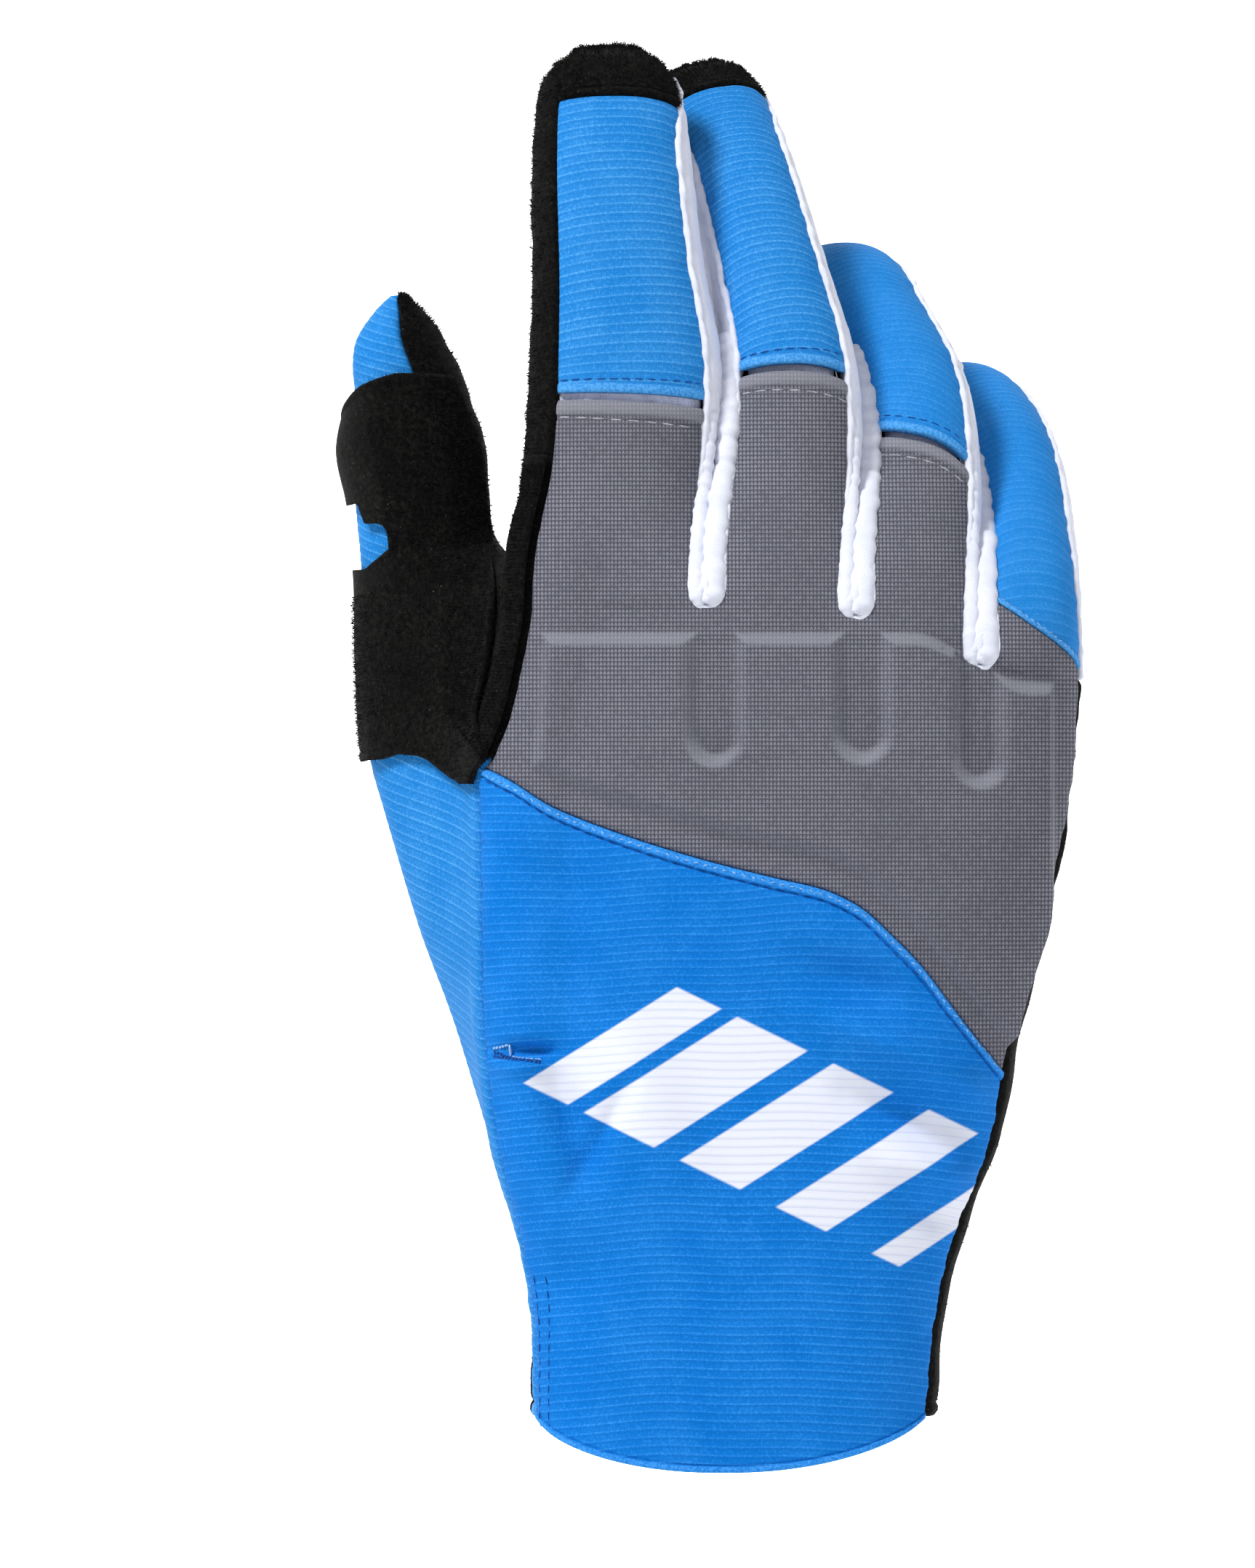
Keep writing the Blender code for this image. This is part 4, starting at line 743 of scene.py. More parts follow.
    def left_side(self, name: str, rows: Array, across: Array) -> Array:
        """A finger's left side; across runs from its palm seam to its back seam."""
        base = self.fork_line(FINGERS.index(name) - 1, 1 - across)
        seams = (360 - self.front_seam, 360 + self.back_seams[name][0])
        return self.finger_grid(name, base, rows, seams, across, self.fork_opening(1 - across))

    def finger_front(self, name: str, rows: Array, across: Array) -> Array:
        """A finger's palm side; across runs from its right to its left seam."""
        number = FINGERS.index(name)
        share = mix(self.palm_forks[3 - number], self.palm_forks[4 - number], across)
        base = self.palm_point("palm", share, self.palm_top(share))
        shift = ((number > 0) * across - (number < 3) * (1 - across)) * self.fork_opening(1.0)
        end = self.index_neck_seams[0] if number == 0 else 360 - self.front_seam
        return self.finger_grid(name, base, rows, (self.front_seam, end), across, shift)

    def close_tip(self, name: str, points: Array) -> Array:
        """Adds rows to a finger's grid that round its open end off to the line from side to side.

        Args:
            name: The finger.
            points: The grid, whose last row lies at the finger's end.

        Returns:
            The longer grid.
        """
        right, left, top = (self.tube_point(name, 1.0, degrees) for degrees in (90.0, 270.0, 0.0))
        behind = self.tube_point(name, 0.99, 90.0) + self.tube_point(name, 0.99, 270.0)
        middle = (right + left) / 2
        onward, outward = middle - behind / 2, top - middle
        onward /= np.linalg.norm(onward)
        outward -= (outward @ onward) * onward
        return round_off(points, middle, outward / np.linalg.norm(outward), onward)

    def neck_line(self, across: Array) -> Array:
        """The bottom of the thumb's fork, from the palm side to the back."""
        front = self.palm_point("palm", 1.0, self.palm_length)
        return mix(front, self.palm_point("edge", 0.0, self.palm_length), across[..., None])

    def index_outer_side(self, rows: Array, across: Array) -> Array:
        """The index finger's outer side: first along the thumb's fork, then along the edge strip."""
        first, second = self.index_neck_seams
        outer = 360 + self.back_seams["index"][0]
        edge = self.palm_point("edge", np.clip(2 * across - 1, 0, 1), self.palm_length)
        base = np.where((across <= 0.5)[:, None], self.neck_line(np.clip(2 * across, 0, 1)), edge)
        rows = np.asarray(rows, float)[:, None] + np.zeros(len(across))
        height = rows * self.lengths["index"]
        closed = self.seam_degrees(outer, rows)
        middle = second + (closed - outer) * (second - first) / (outer - first)
        low, high = mix(first, middle, 2 * across), mix(middle, closed, 2 * across - 1)
        lifted = np.repeat(base[None], len(rows), 0)
        lifted[..., 2] += height
        tube = self.tube_point("index", rows, np.where(across <= 0.5, low, high))
        return mix(lifted, tube, ease(height / self.blend_height)[..., None])

    def thumb_skin(self, part: str, across: Array | float, z: Array | float) -> Array:
        """A point of the thumb's skin below or above its fork.

        Args:
            part: thumb_back, web, neck or thumb_front.
            across: The share across that part.
            z: The height.

        Returns:
            The point.
        """
        across, z = np.broadcast_arrays(np.asarray(across, float), np.asarray(z, float))
        if part == "neck":
            base = self.neck_line(1 - across)
        else:
            base = self.palm_point(part, across, np.minimum(z, self.palm_length))
        front_seam, back_seam = self.thumb_back_seams
        first, last = {
            "thumb_back": (back_seam, front_seam), "web": (front_seam, self.thumb_neck_seams[0]),
            "neck": self.thumb_neck_seams, "thumb_front": (self.thumb_neck_seams[1], 360 + back_seam),
        }[part]
        degrees = mix(first, last, across)
        # The seams close to the front and the back of the tip
        shut = ease((z - self.palm_length) / (self.thumb_top - self.palm_length) * 1.6 - 0.6)
        if part == "thumb_back":
            degrees = mix(degrees, mix(-180.0, 0.0, across), shut)
        else:
            degrees = mix(degrees, (degrees - front_seam) / (360 + back_seam - front_seam) * 180, shut)
        x, y = self.oval_point(self.thumb_section(z), degrees, self.tube_power)
        tube = np.stack([x, y, z + 0 * x], -1)
        base = base + np.stack([0 * z, 0 * z, z - base[..., 2]], -1)
        return mix(base, tube, ease((z - self.palm_length) / self.thumb_blend_height)[..., None])

    def slant_height(self, share: Array) -> Array:
        """Height of the slanting seam where the back strip has this share."""
        z = np.full(np.shape(share), 0.7 * self.palm_length)
        for _ in range(14):
            x = self.palm_point("back", share, z)[..., 0]
            z = mix(z, self.slant.read("z", x / self.knuckle_width) * self.palm_length, 0.6)
        return z

    def hem_height(self, share: Array) -> Array:
        """Height of the hem, which hangs lower at the middle of the back."""
        return -self.cuff_dip * (1 - np.abs(2 * share - 1) ** 2.2)

    def pinky_right_rows(self, rows: Array) -> Array:
        """The little finger's rows at its right side, where its grey lobe runs out."""
        top = self.lobe_top["pinky"]
        high = rows - top * (1 - self.pinky_lobe_right) * (1 - ease((rows - top) / 0.5))
        return np.where(rows <= top, rows * self.pinky_lobe_right, high)


def linear(colour: str) -> tuple[float, float, float, float]:
    """Turns an sRGB hex colour into linear red, green, blue and alpha.

    Args:
        colour: The colour, such as "#117FDD".

    Returns:
        The linear colour.
    """
    parts = [int(colour[k:k + 2], 16) / 255 for k in (1, 3, 5)]
    return (*(part / 12.92 if part <= 0.04045 else ((part + 0.055) / 1.055) ** 2.4 for part in parts), 1.0)


Socket = bpy.types.NodeSocket


class Shading:
    """The nodes of one material, placed by the piece's own coordinates, and the shader that they end in."""

    def __init__(self, name: str, roughness: float, sheen: float = 0.0) -> None:
        """Starts a material with a bare shader.

        Args:
            name: The material's name.
            roughness: The shader's roughness.
            sheen: The weight of the fine fibres' sheen.
        """
        self.material = bpy.data.materials.new(name)
        self.material.use_nodes = True
        self.tree = self.material.node_tree
        self.shader = self.tree.nodes["Principled BSDF"]
        settings = {
            "Roughness": roughness, "Specular IOR Level": 0.1, "Sheen Weight": sheen, "Sheen Roughness": 0.45}
        for socket, value in settings.items():
            self.shader.inputs[socket].default_value = value
        self.spot = self.add("TexCoord").outputs["Object"]

    def add(self, kind: str, inputs: dict | None = None, **settings: object) -> bpy.types.Node:
        """Adds a shader node with its settings and inputs.

        Args:
            kind: The node's type, without its first part ShaderNode.
            inputs: A value or another node's output for each named or numbered input.
            settings: The node's own settings.

        Returns:
            The node.
        """
        node = self.tree.nodes.new("ShaderNode" + kind)
        for name, value in settings.items():
            setattr(node, name, value)
        for name, value in (inputs or {}).items():
            if isinstance(value, Socket):
                self.tree.links.new(value, node.inputs[name])
            else:
                node.inputs[name].default_value = value
        return node

    def maths(self, operation: str, *values: Socket | float) -> Socket:
        """The result of one sum on values or sockets."""
        return self.add("Math", dict(enumerate(values)), operation=operation).outputs[0]

    def times(self, first: Socket, *others: Socket | float) -> Socket:
        """The product of two or more values or sockets."""
        for other in others:
            first = self.maths("MULTIPLY", first, other)
        return first

    def ramp(self, value: Socket, low: float, high: float, start: float = 0.0, end: float = 1.0) -> Socket:
        """A smooth step of a value.

        Args:
            value: The value's socket.
            low: Where the step starts.
            high: Where it ends.
            start: The result before the step.
            end: The result after it.

        Returns:
            The result's socket.
        """
        node = self.add("MapRange", {
            "Value": value, "From Min": low, "From Max": high, "To Min": start, "To Max": end,
        }, interpolation_type="SMOOTHSTEP")
        return node.outputs["Result"]

    def mix(self, share: Socket, low: object, high: object) -> Socket:
        """Mixes two colours.

        Args:
            share: The share of the second colour.
            low: The first colour: hex, linear or a socket.
            high: The second colour: hex, linear or a socket.

        Returns:
            The mixed colour's socket.
        """
        low, high = (linear(part) if isinstance(part, str) else part for part in (low, high))
        return self.add("Mix", {0: share, 6: low, 7: high}, data_type="RGBA").outputs[2]

    def noise(self, size: float, detail: float, roughness: float = 0.5) -> Socket:
        """Noise with features of this size, in metres."""
        inputs = {"Vector": self.spot, "Scale": 1 / size, "Detail": detail, "Roughness": roughness}
        return self.add("TexNoise", inputs).outputs["Fac"]

    def cells(self, size: float, randomness: float) -> Socket:
        """The distance from the middle of the nearest cell, for cells of this size, in metres."""
        inputs = {"Vector": self.spot, "Scale": 1 / size, "Randomness": randomness}
        return self.add("TexVoronoi", inputs).outputs["Distance"]

    def cloth(self) -> tuple[Socket, Socket, Socket]:
        """The place in the knit: metres across, count of ribs or share of painted highlight on the grey's pad
        bevels, and share of fold.
        """
        place = self.add("Attribute", attribute_name="cloth").outputs["Vector"]
        return tuple(self.add("SeparateXYZ", {0: place}).outputs)

    def end(self, colour: Socket, height: Socket, strength: float, depth: float) -> bpy.types.Material:
        """Links the colour and the fine relief to the shader.

        Args:
            colour: The colour's socket.
            height: The relief's socket.
            strength: How strongly the relief shows.
            depth: How deep it is, in metres.

        Returns:
            The material.
        """
        bump = self.add("Bump", {"Height": height, "Strength": strength, "Distance": depth})
        self.tree.links.new(colour, self.shader.inputs["Base Color"])
        self.tree.links.new(bump.outputs[0], self.shader.inputs["Normal"])
        return self.material


class Finish:
    """A cloth, leather or thread, and the material made for it."""

    name: str
    slot: str

    def material(self) -> bpy.types.Material:
        """The finish's material, made at its first use."""
        return bpy.data.materials.get(self.name) or self.make()

    def make(self) -> bpy.types.Material:
        """Makes the material."""
        raise NotImplementedError


class Artwork(Enum):
    """What is printed on a knit."""

    NONE = "plain"
    SLASHES = "white slashes"


@dataclass(frozen=True)
class RibKnit(Finish):
    """Polyester rib knit: a deep blue ground, with each rib a thin beaded line of painted highlight and a painted
    shadow just below it.
    """

    name: str = "blue_polyester_rib_knit"
    slot: str = "blue_rib_knit"
    ground: str = "#0076D0"
    # The darker knit between stitches and in random mottle, also the painted shadow below each rib
    hollow: str = "#0066BC"
    # The painted highlight along each rib, also used for light mottle at random
    rib: str = "#3896EA"
    fold: str = "#3F96E8"
    bleached: str = "#DDE1EE"
    # The painted shadow below each rib on the print
    bleached_rib_shade: str = "#AEBBDA"
    line_strength: float = 0.85
    bead: float = 0.95 * MM
    stitch: float = 0.42 * MM
    artwork: Artwork = Artwork.NONE
    slash_centre: tuple[float, float] = (8.5 * MM, 47.5 * MM)
    slash_half_length: float = 34.0 * MM
    slash_half_height: float = 12.5 * MM
    slash_period: float = 16.4 * MM
    slash_share: float = 0.33
    slash_taper: float = 0.055
    slash_fall: float = 26.0
    slash_lean: float = 0.62
    slash_edge: float = 0.25 * MM

    def make(self) -> bpy.types.Material:
        """Makes the material."""
        nodes = Shading(self.name, roughness=0.8)
        across, ribs, folded = nodes.cloth()
        # Painted highlight: a thin light line along the crest of each rib
        line = nodes.ramp(nodes.maths("PINGPONG", ribs, 0.5), 0.05, 0.14, self.line_strength, 0.0)
        # Painted shadow: a thin dark line just below each rib
        under = nodes.ramp(nodes.maths("PINGPONG", nodes.maths("ADD", ribs, 0.27), 0.5), 0.02, 0.15, 1.0, 0.0)
        rib_number = nodes.maths("ROUND", ribs)
        bead = nodes.maths("ADD", nodes.maths("DIVIDE", across, self.bead), nodes.times(rib_number, 0.37))
        beaded = nodes.ramp(nodes.maths("PINGPONG", bead, 0.5), 0.05, 0.34, 1.0, 0.6)
        rough, wide = nodes.noise(0.4 * MM, 2.0), nodes.noise(9 * MM, 2.0)
        each = nodes.add("TexWhiteNoise", {"W": rib_number}, noise_dimensions="1D").outputs["Value"]
        # The knit between the ribs is a lattice of tiny slanting stitches
        weave = nodes.maths("DIVIDE", across, self.stitch), nodes.times(ribs, 4.0)
        one, two = (
            nodes.maths("SINE", nodes.times(nodes.maths(way, *weave), math.pi)) for way in ("ADD", "SUBTRACT"))
        lattice = nodes.maths("MULTIPLY_ADD", nodes.times(one, two), 0.5, 0.5)
        colour = nodes.mix(lattice, self.hollow, self.ground)
        colour = nodes.mix(nodes.ramp(wide, 0.3, 0.7, 0.0, 0.16), colour, self.rib)
        colour = nodes.mix(nodes.ramp(rough, 0.35, 0.6, 0.5, 0.0), colour, self.hollow)
        colour = nodes.mix(nodes.ramp(rough, 0.52, 0.72, 0.0, 0.3), colour, self.rib)
        # How strongly the painted rib highlight shows: beaded, uneven at random and faint on folds
        strength = nodes.times(
            line, beaded, nodes.ramp(rough, 0.25, 0.6, 0.4, 0.8), nodes.ramp(wide, 0.3, 0.6, 0.7, 1.0),
            nodes.ramp(each, 0.0, 0.7, 0.7, 1.0), nodes.maths("SUBTRACT", 1.0, nodes.times(folded, 0.8)))
        # Painted shadow: the hollow colour laid along the line below each rib
        colour = nodes.mix(nodes.times(under, 0.45), colour, self.hollow)
        # Painted highlight laid along each rib's crest
        colour = nodes.mix(strength, colour, self.rib)
        colour = nodes.mix(nodes.times(folded, nodes.ramp(rough, 0.35, 0.65, 0.25, 0.95)), colour, self.fold)
        if self.artwork is Artwork.SLASHES:
            # The print gets the same painted shadow below each rib, in a pale lavender grey
            printed = nodes.mix(nodes.times(under, 0.35), self.bleached, self.bleached_rib_shade)
            colour = nodes.mix(self.slashes(nodes), colour, printed)
        height = nodes.maths("ADD", nodes.times(strength, 0.6), nodes.times(lattice, 0.4))
        return nodes.end(colour, height, 0.5, 0.12 * MM)

    def slashes(self, nodes: Shading) -> Socket:
        """The print: a slanting row of leaning white bars, each narrower than the one before it.

        Args:
            nodes: The material's nodes.

        Returns:
            The socket that is 1 inside a bar.
        """
        x, _, z = nodes.add("SeparateXYZ", {0: nodes.spot}).outputs
        x, z = (nodes.maths("SUBTRACT", part, centre) for part, centre in zip((x, z), self.slash_centre))
        fall = math.radians(self.slash_fall)
        along = nodes.maths("SUBTRACT", nodes.times(x, math.cos(fall)), nodes.times(z, math.sin(fall)))
        off = nodes.maths("ADD", nodes.times(x, math.sin(fall)), nodes.times(z, math.cos(fall)))
        leaning = nodes.maths("SUBTRACT", along, nodes.times(off, self.slash_lean))
        taper = nodes.times(leaning, self.slash_taper)
        half = nodes.maths("SUBTRACT", self.slash_share * self.slash_period, taper)
        beyond = nodes.maths("SUBTRACT", nodes.maths("PINGPONG", leaning, self.slash_period / 2), half)
        edge = self.slash_edge
        high, wide = (
            nodes.ramp(nodes.maths("ABSOLUTE", part), size - edge, size + edge, 1.0, 0.0)
            for part, size in ((off, self.slash_half_height), (leaning, self.slash_half_length)))
        return nodes.times(nodes.ramp(beyond, -edge, edge, 1.0, 0.0), high, wide)


@dataclass(frozen=True)
class PlainKnit(Finish):
    """Grey polyester interlock over moulded foam: rows of small v-shaped stitches with dark gaps."""

    name: str = "grey_polyester_interlock"
    slot: str = "grey_knit"
    stitch: str = "#80818C"
    gap: str = "#4A4B55"
    # The colour of the hem folds, also the painted highlight on the pads' bevels
    fold: str = "#93959F"
    wale: float = 0.60 * MM
    course: float = 0.72 * MM

    def make(self) -> bpy.types.Material:
        """Makes the material."""
        nodes = Shading(self.name, roughness=0.85, sheen=0.02)
        x, _, z = nodes.add("SeparateXYZ", {0: nodes.spot}).outputs
        # Each stitch is a small leaning oval, and the dark gaps lie where four of them meet
        wale = nodes.maths("SUBTRACT", 0.5, nodes.maths("PINGPONG", nodes.maths("DIVIDE", x, self.wale), 0.5))
        slope = nodes.maths("MULTIPLY_ADD", wale, 0.7, nodes.maths("DIVIDE", z, self.course))
        course = nodes.maths("SUBTRACT", 0.5, nodes.maths("PINGPONG", slope, 0.5))
        off = nodes.maths("ADD", nodes.times(wale, wale), nodes.times(course, course))
        thread = nodes.times(
            nodes.ramp(off, 0.04, 0.24, 1.0, 0.0), nodes.ramp(nodes.noise(0.8 * MM, 3.0), 0.25, 0.7, 0.6, 1.2),
            nodes.ramp(nodes.noise(13 * MM, 2.0), 0.3, 0.7, 0.8, 1.1))
        # Painted highlight: the pads' bevels are lightened towards the fold colour, most where they face up, as
        # the hem folds are
        _, bevel_highlight, folded = nodes.cloth()
        fold_and_highlight = nodes.maths("ADD", nodes.times(folded, 0.5), nodes.times(bevel_highlight, 0.5))
        colour = nodes.mix(fold_and_highlight, nodes.mix(thread, self.gap, self.stitch), self.fold)
        return nodes.end(colour, thread, 0.6, 0.12 * MM)


@dataclass(frozen=True)
class StretchFabric(Finish):
    """White elastane tricot: smooth and matt, with a faint cool tint in its hollows and a very fine grain."""

    name: str = "white_elastane_tricot"
    slot: str = "white_stretch"
    cloth: str = "#E2E5F1"
    hollow: str = "#BFC4DA"
    grain: float = 0.25 * MM

    def make(self) -> bpy.types.Material:
        """Makes the material."""
        nodes = Shading(self.name, roughness=0.65, sheen=0.1)
        grain, patch = nodes.noise(self.grain, 3.0), nodes.noise(6 * MM, 2.0)
        share = nodes.times(nodes.ramp(grain, 0.2, 0.6, 0.55, 1.0), nodes.ramp(patch, 0.25, 0.6, 0.7, 1.0))
        return nodes.end(nodes.mix(share, self.hollow, self.cloth), grain, 0.2, 0.06 * MM)


@dataclass(frozen=True)
class Mesh(Finish):
    """Fine warp-knit mesh behind the vents: pale, a little glossy, darker where the rows meet."""

    name: str = "pale_warp_knit_mesh"
    slot: str = "gusset_mesh"
    thread: str = "#CBD0E6"
    hole: str = "#A8AECB"
    cell: float = 0.45 * MM

    def make(self) -> bpy.types.Material:
        """Makes the material."""
        nodes = Shading(self.name, roughness=0.55)
        share = nodes.ramp(nodes.cells(self.cell, 0.25), 0.15, 0.5)
        return nodes.end(nodes.mix(share, self.hole, self.thread), share, 0.4, 0.1 * MM)


@dataclass(frozen=True)
class Suede(Finish):
    """Synthetic microfibre suede: near black, brushed to a short nap that scatters light in soft patches."""

    name: str = "black_microfibre_suede"
    slot: str = "black_suede"
    nap: str = "#1D1D1B"
    shade: str = "#020202"
    lint: str = "#484844"
    perforated: bool = False
    hole_spacing: float = 4.6 * MM
    hole_size: float = 0.13

    def make(self) -> bpy.types.Material:
        """Makes the material."""
        nodes = Shading(self.name, roughness=0.95, sheen=0.03)
        nap, patch = nodes.noise(0.7 * MM, 6.0, 0.75), nodes.noise(7 * MM, 3.0)
        fleck = nodes.noise(0.45 * MM, 1.0)
        share = nodes.times(nodes.ramp(nap, 0.42, 0.66), nodes.ramp(patch, 0.3, 0.65, 0.45, 1.0))
        colour = nodes.mix(nodes.ramp(fleck, 0.74, 0.80), nodes.mix(share, self.shade, self.nap), self.lint)
        height = nap
        if self.perforated:
            solid = nodes.ramp(nodes.cells(self.hole_spacing, 0.55), self.hole_size * 0.7, self.hole_size)
            colour = nodes.mix(solid, self.shade, colour)
            height = nodes.maths("ADD", height, nodes.times(solid, 0.8))
        return nodes.end(colour, height, 0.9, 0.5 * MM)


@dataclass(frozen=True)
class Thread(Finish):
    """Polyester sewing thread: two plies with a soft shine, drawn a little thicker so that it shows."""

    name: str
    slot: str
    colour: str

    def make(self) -> bpy.types.Material:
        """Makes the material."""
        nodes = Shading(self.name, roughness=0.5, sheen=0.1)
        ply = nodes.noise(0.4 * MM, 2.0)
        dark = (*(0.6 * part for part in linear(self.colour)[:3]), 1.0)
        return nodes.end(nodes.mix(nodes.ramp(ply, 0.35, 0.6), dark, self.colour), ply, 0.5, 0.08 * MM)


BLUE = RibKnit(name="light_blue_rib_knit", ground="#2484D0", hollow="#1270BC", rib="#5CAAE8", fold="#56A0E0")
FAINT_BLUE = RibKnit(
    name="fine_blue_rib_knit", ground="#2484D0", hollow="#1674C0", rib="#4C9CE2", fold="#56A0E0",
    line_strength=0.5)
PRINTED_BLUE = RibKnit(name="printed_blue_rib_knit", artwork=Artwork.SLASHES)
GREY = PlainKnit()
WHITE = StretchFabric()
MESH = Mesh()
SUEDE = Suede()
PERFORATED_SUEDE = Suede(name="perforated_black_microfibre_suede", perforated=True)
BLUE_THREAD = Thread("dark_blue_polyester_thread", "blue_rib_knit", "#0A4FA0")
PALE_BLUE_THREAD = Thread("pale_blue_polyester_thread", "blue_rib_knit", "#9CC6F2")
GREY_THREAD = Thread("pale_grey_polyester_thread", "grey_knit", "#AEAFB8")
BLACK_THREAD = Thread("black_polyester_thread", "black_suede", "#1C1C1C")


def edge_distances(points: Array) -> dict[str, Array]:
    """How far each point of a field lies from the field's four edges, along the cloth.

    Args:
        points: The field's points, row by row.

    Returns:
        The distances from the left, right, bottom and top edge.
    """
    across = np.linalg.norm(np.diff(points, axis=1), axis=2)
    along = np.linalg.norm(np.diff(points, axis=0), axis=2)
    left = np.pad(np.cumsum(across, 1), ((0, 0), (1, 0)))
    bottom = np.pad(np.cumsum(along, 0), ((1, 0), (0, 0)))
    return {"left": left, "right": left[:, -1:] - left, "bottom": bottom, "top": bottom[-1:] - bottom}


@dataclass
class Field:
    """A field of cloth with four edges: each point's place, relief, place in the knit and thickness share."""

    points: Array
    relief: Array
    knit: Array
    thickness: Array
    pucker_period: float = 6.5 * MM
    pucker_fade: float = 3.0 * MM
    seam_thickness: float = 0.15
    seam_fade: float = 1.8 * MM

    @classmethod
    def lay(cls, points: Array, ribs: Array | None = None) -> "Field":
        """A field with no relief yet.

        Args:
            points: The field's points, row by row.
            ribs: Each point's place counted in ribs.

        Returns:
            The field.
        """
        distance = edge_distances(points)
        from_left, count = distance["left"], distance["bottom"] if ribs is None else ribs
        knit = np.stack([from_left - from_left[:, -1:] / 2, count, 0 * count], -1)
        return cls(points, np.zeros(points.shape[:2]), knit, np.ones(points.shape[:2]))

    def sewn(self, edges: tuple[str, ...], depth: float = 0.75 * MM, width: float = 1.1 * MM,
             pucker: float = 0.16 * MM) -> "Field":
        """Rolls edges under to a seam, with small puckers beside it.

        Args:
            edges: Which edges are sewn.
            depth: How deep the seam lies.
            width: How wide the roll is.
            pucker: How high the puckers are.

        Returns:
            The field itself.
        """
        distance = edge_distances(self.points)
        for number, edge in enumerate(edges):
            gap = distance[edge]
            share = 1 - np.clip(gap / width, 0, 1)
            self.relief -= depth * (1 - np.sqrt(np.clip(1 - share**2, 0, 1)))
            beside = distance["bottom" if edge in ("left", "right") else "left"]
            wave = wander(beside, self.pucker_period, number + 1.3 * len(self.points))
            self.relief += pucker * wave * np.exp(-gap / self.pucker_fade) * ease(gap / width)
            # The seam allowance is trimmed, so the cloth thins out under its neighbour
            thinned = mix(self.seam_thickness, 1.0, ease(gap / self.seam_fade))
            self.thickness = np.minimum(self.thickness, thinned)
        return self

    def hemmed(self, edge: str, width: float, height: float = 0.28 * MM) -> "Field":
        """Folds an edge back into a flat band that stands out, with a groove where it is stitched down.

        Args:
            edge: Which edge.
            width: How wide the folded band is.
            height: How far it stands out.

        Returns:
            The field itself.
        """
        gap = edge_distances(self.points)[edge]
        self.relief += height * (1 - ease((gap - 0.85 * width) / (0.3 * width)))
        self.relief -= 0.9 * height * bell(gap - 1.1 * width, 0.18 * width)
        self.relief -= 1.3 * height * (1 - ease(gap / (0.3 * width)))
        self.knit[..., 2] = np.maximum(self.knit[..., 2], 1 - ease((gap - 0.8 * width) / (0.25 * width)))
        return self

    def ribbed(self, height: float) -> "Field":
        """Raises a rounded rib at each whole number of the rib count."""
        ribs = self.knit[..., 1]
        self.relief += height * bell(ribs - np.round(ribs), 0.26) * (1 - 0.8 * self.knit[..., 2])
        return self


def lay_grid(body: bmesh.types.BMesh, points: Array) -> list[bmesh.types.BMVert]:
    """Lays a plain grid of quads over rows of points.

    Args:
        body: The mesh in the making.
        points: The points, row by row.

    Returns:
        The grid's corners, in the points' order.
    """
    rows, columns = points.shape[:2]
    corners = bmesh.ops.create_grid(body, x_segments=columns - 1, y_segments=rows - 1, size=0.5)["verts"]
    for corner, point in zip(corners, points.reshape(-1, 3).tolist()):
        corner.co = point
    return corners


def finished(name: str, body: bmesh.types.BMesh, finish: Finish, prefix: str = "") -> bpy.types.Object:
    """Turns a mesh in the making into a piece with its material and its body.

    Args:
        name: The name of the mesh.
        body: The mesh in the making, which is freed.
        finish: What the piece is made of.
        prefix: What the piece's own name has before that of its mesh.

    Returns:
        The piece.
    """
    mesh = bpy.data.meshes.new(name)
    body.to_mesh(mesh)
    body.free()
    mesh.shade_smooth()
    mesh.materials.append(finish.material())
    piece = bpy.data.objects.new(prefix + name, mesh)
    bpy.context.scene.collection.objects.link(piece)
    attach(piece, BODY)
    LOG.info("%s: %d faces", piece.name, len(mesh.polygons))
    return piece


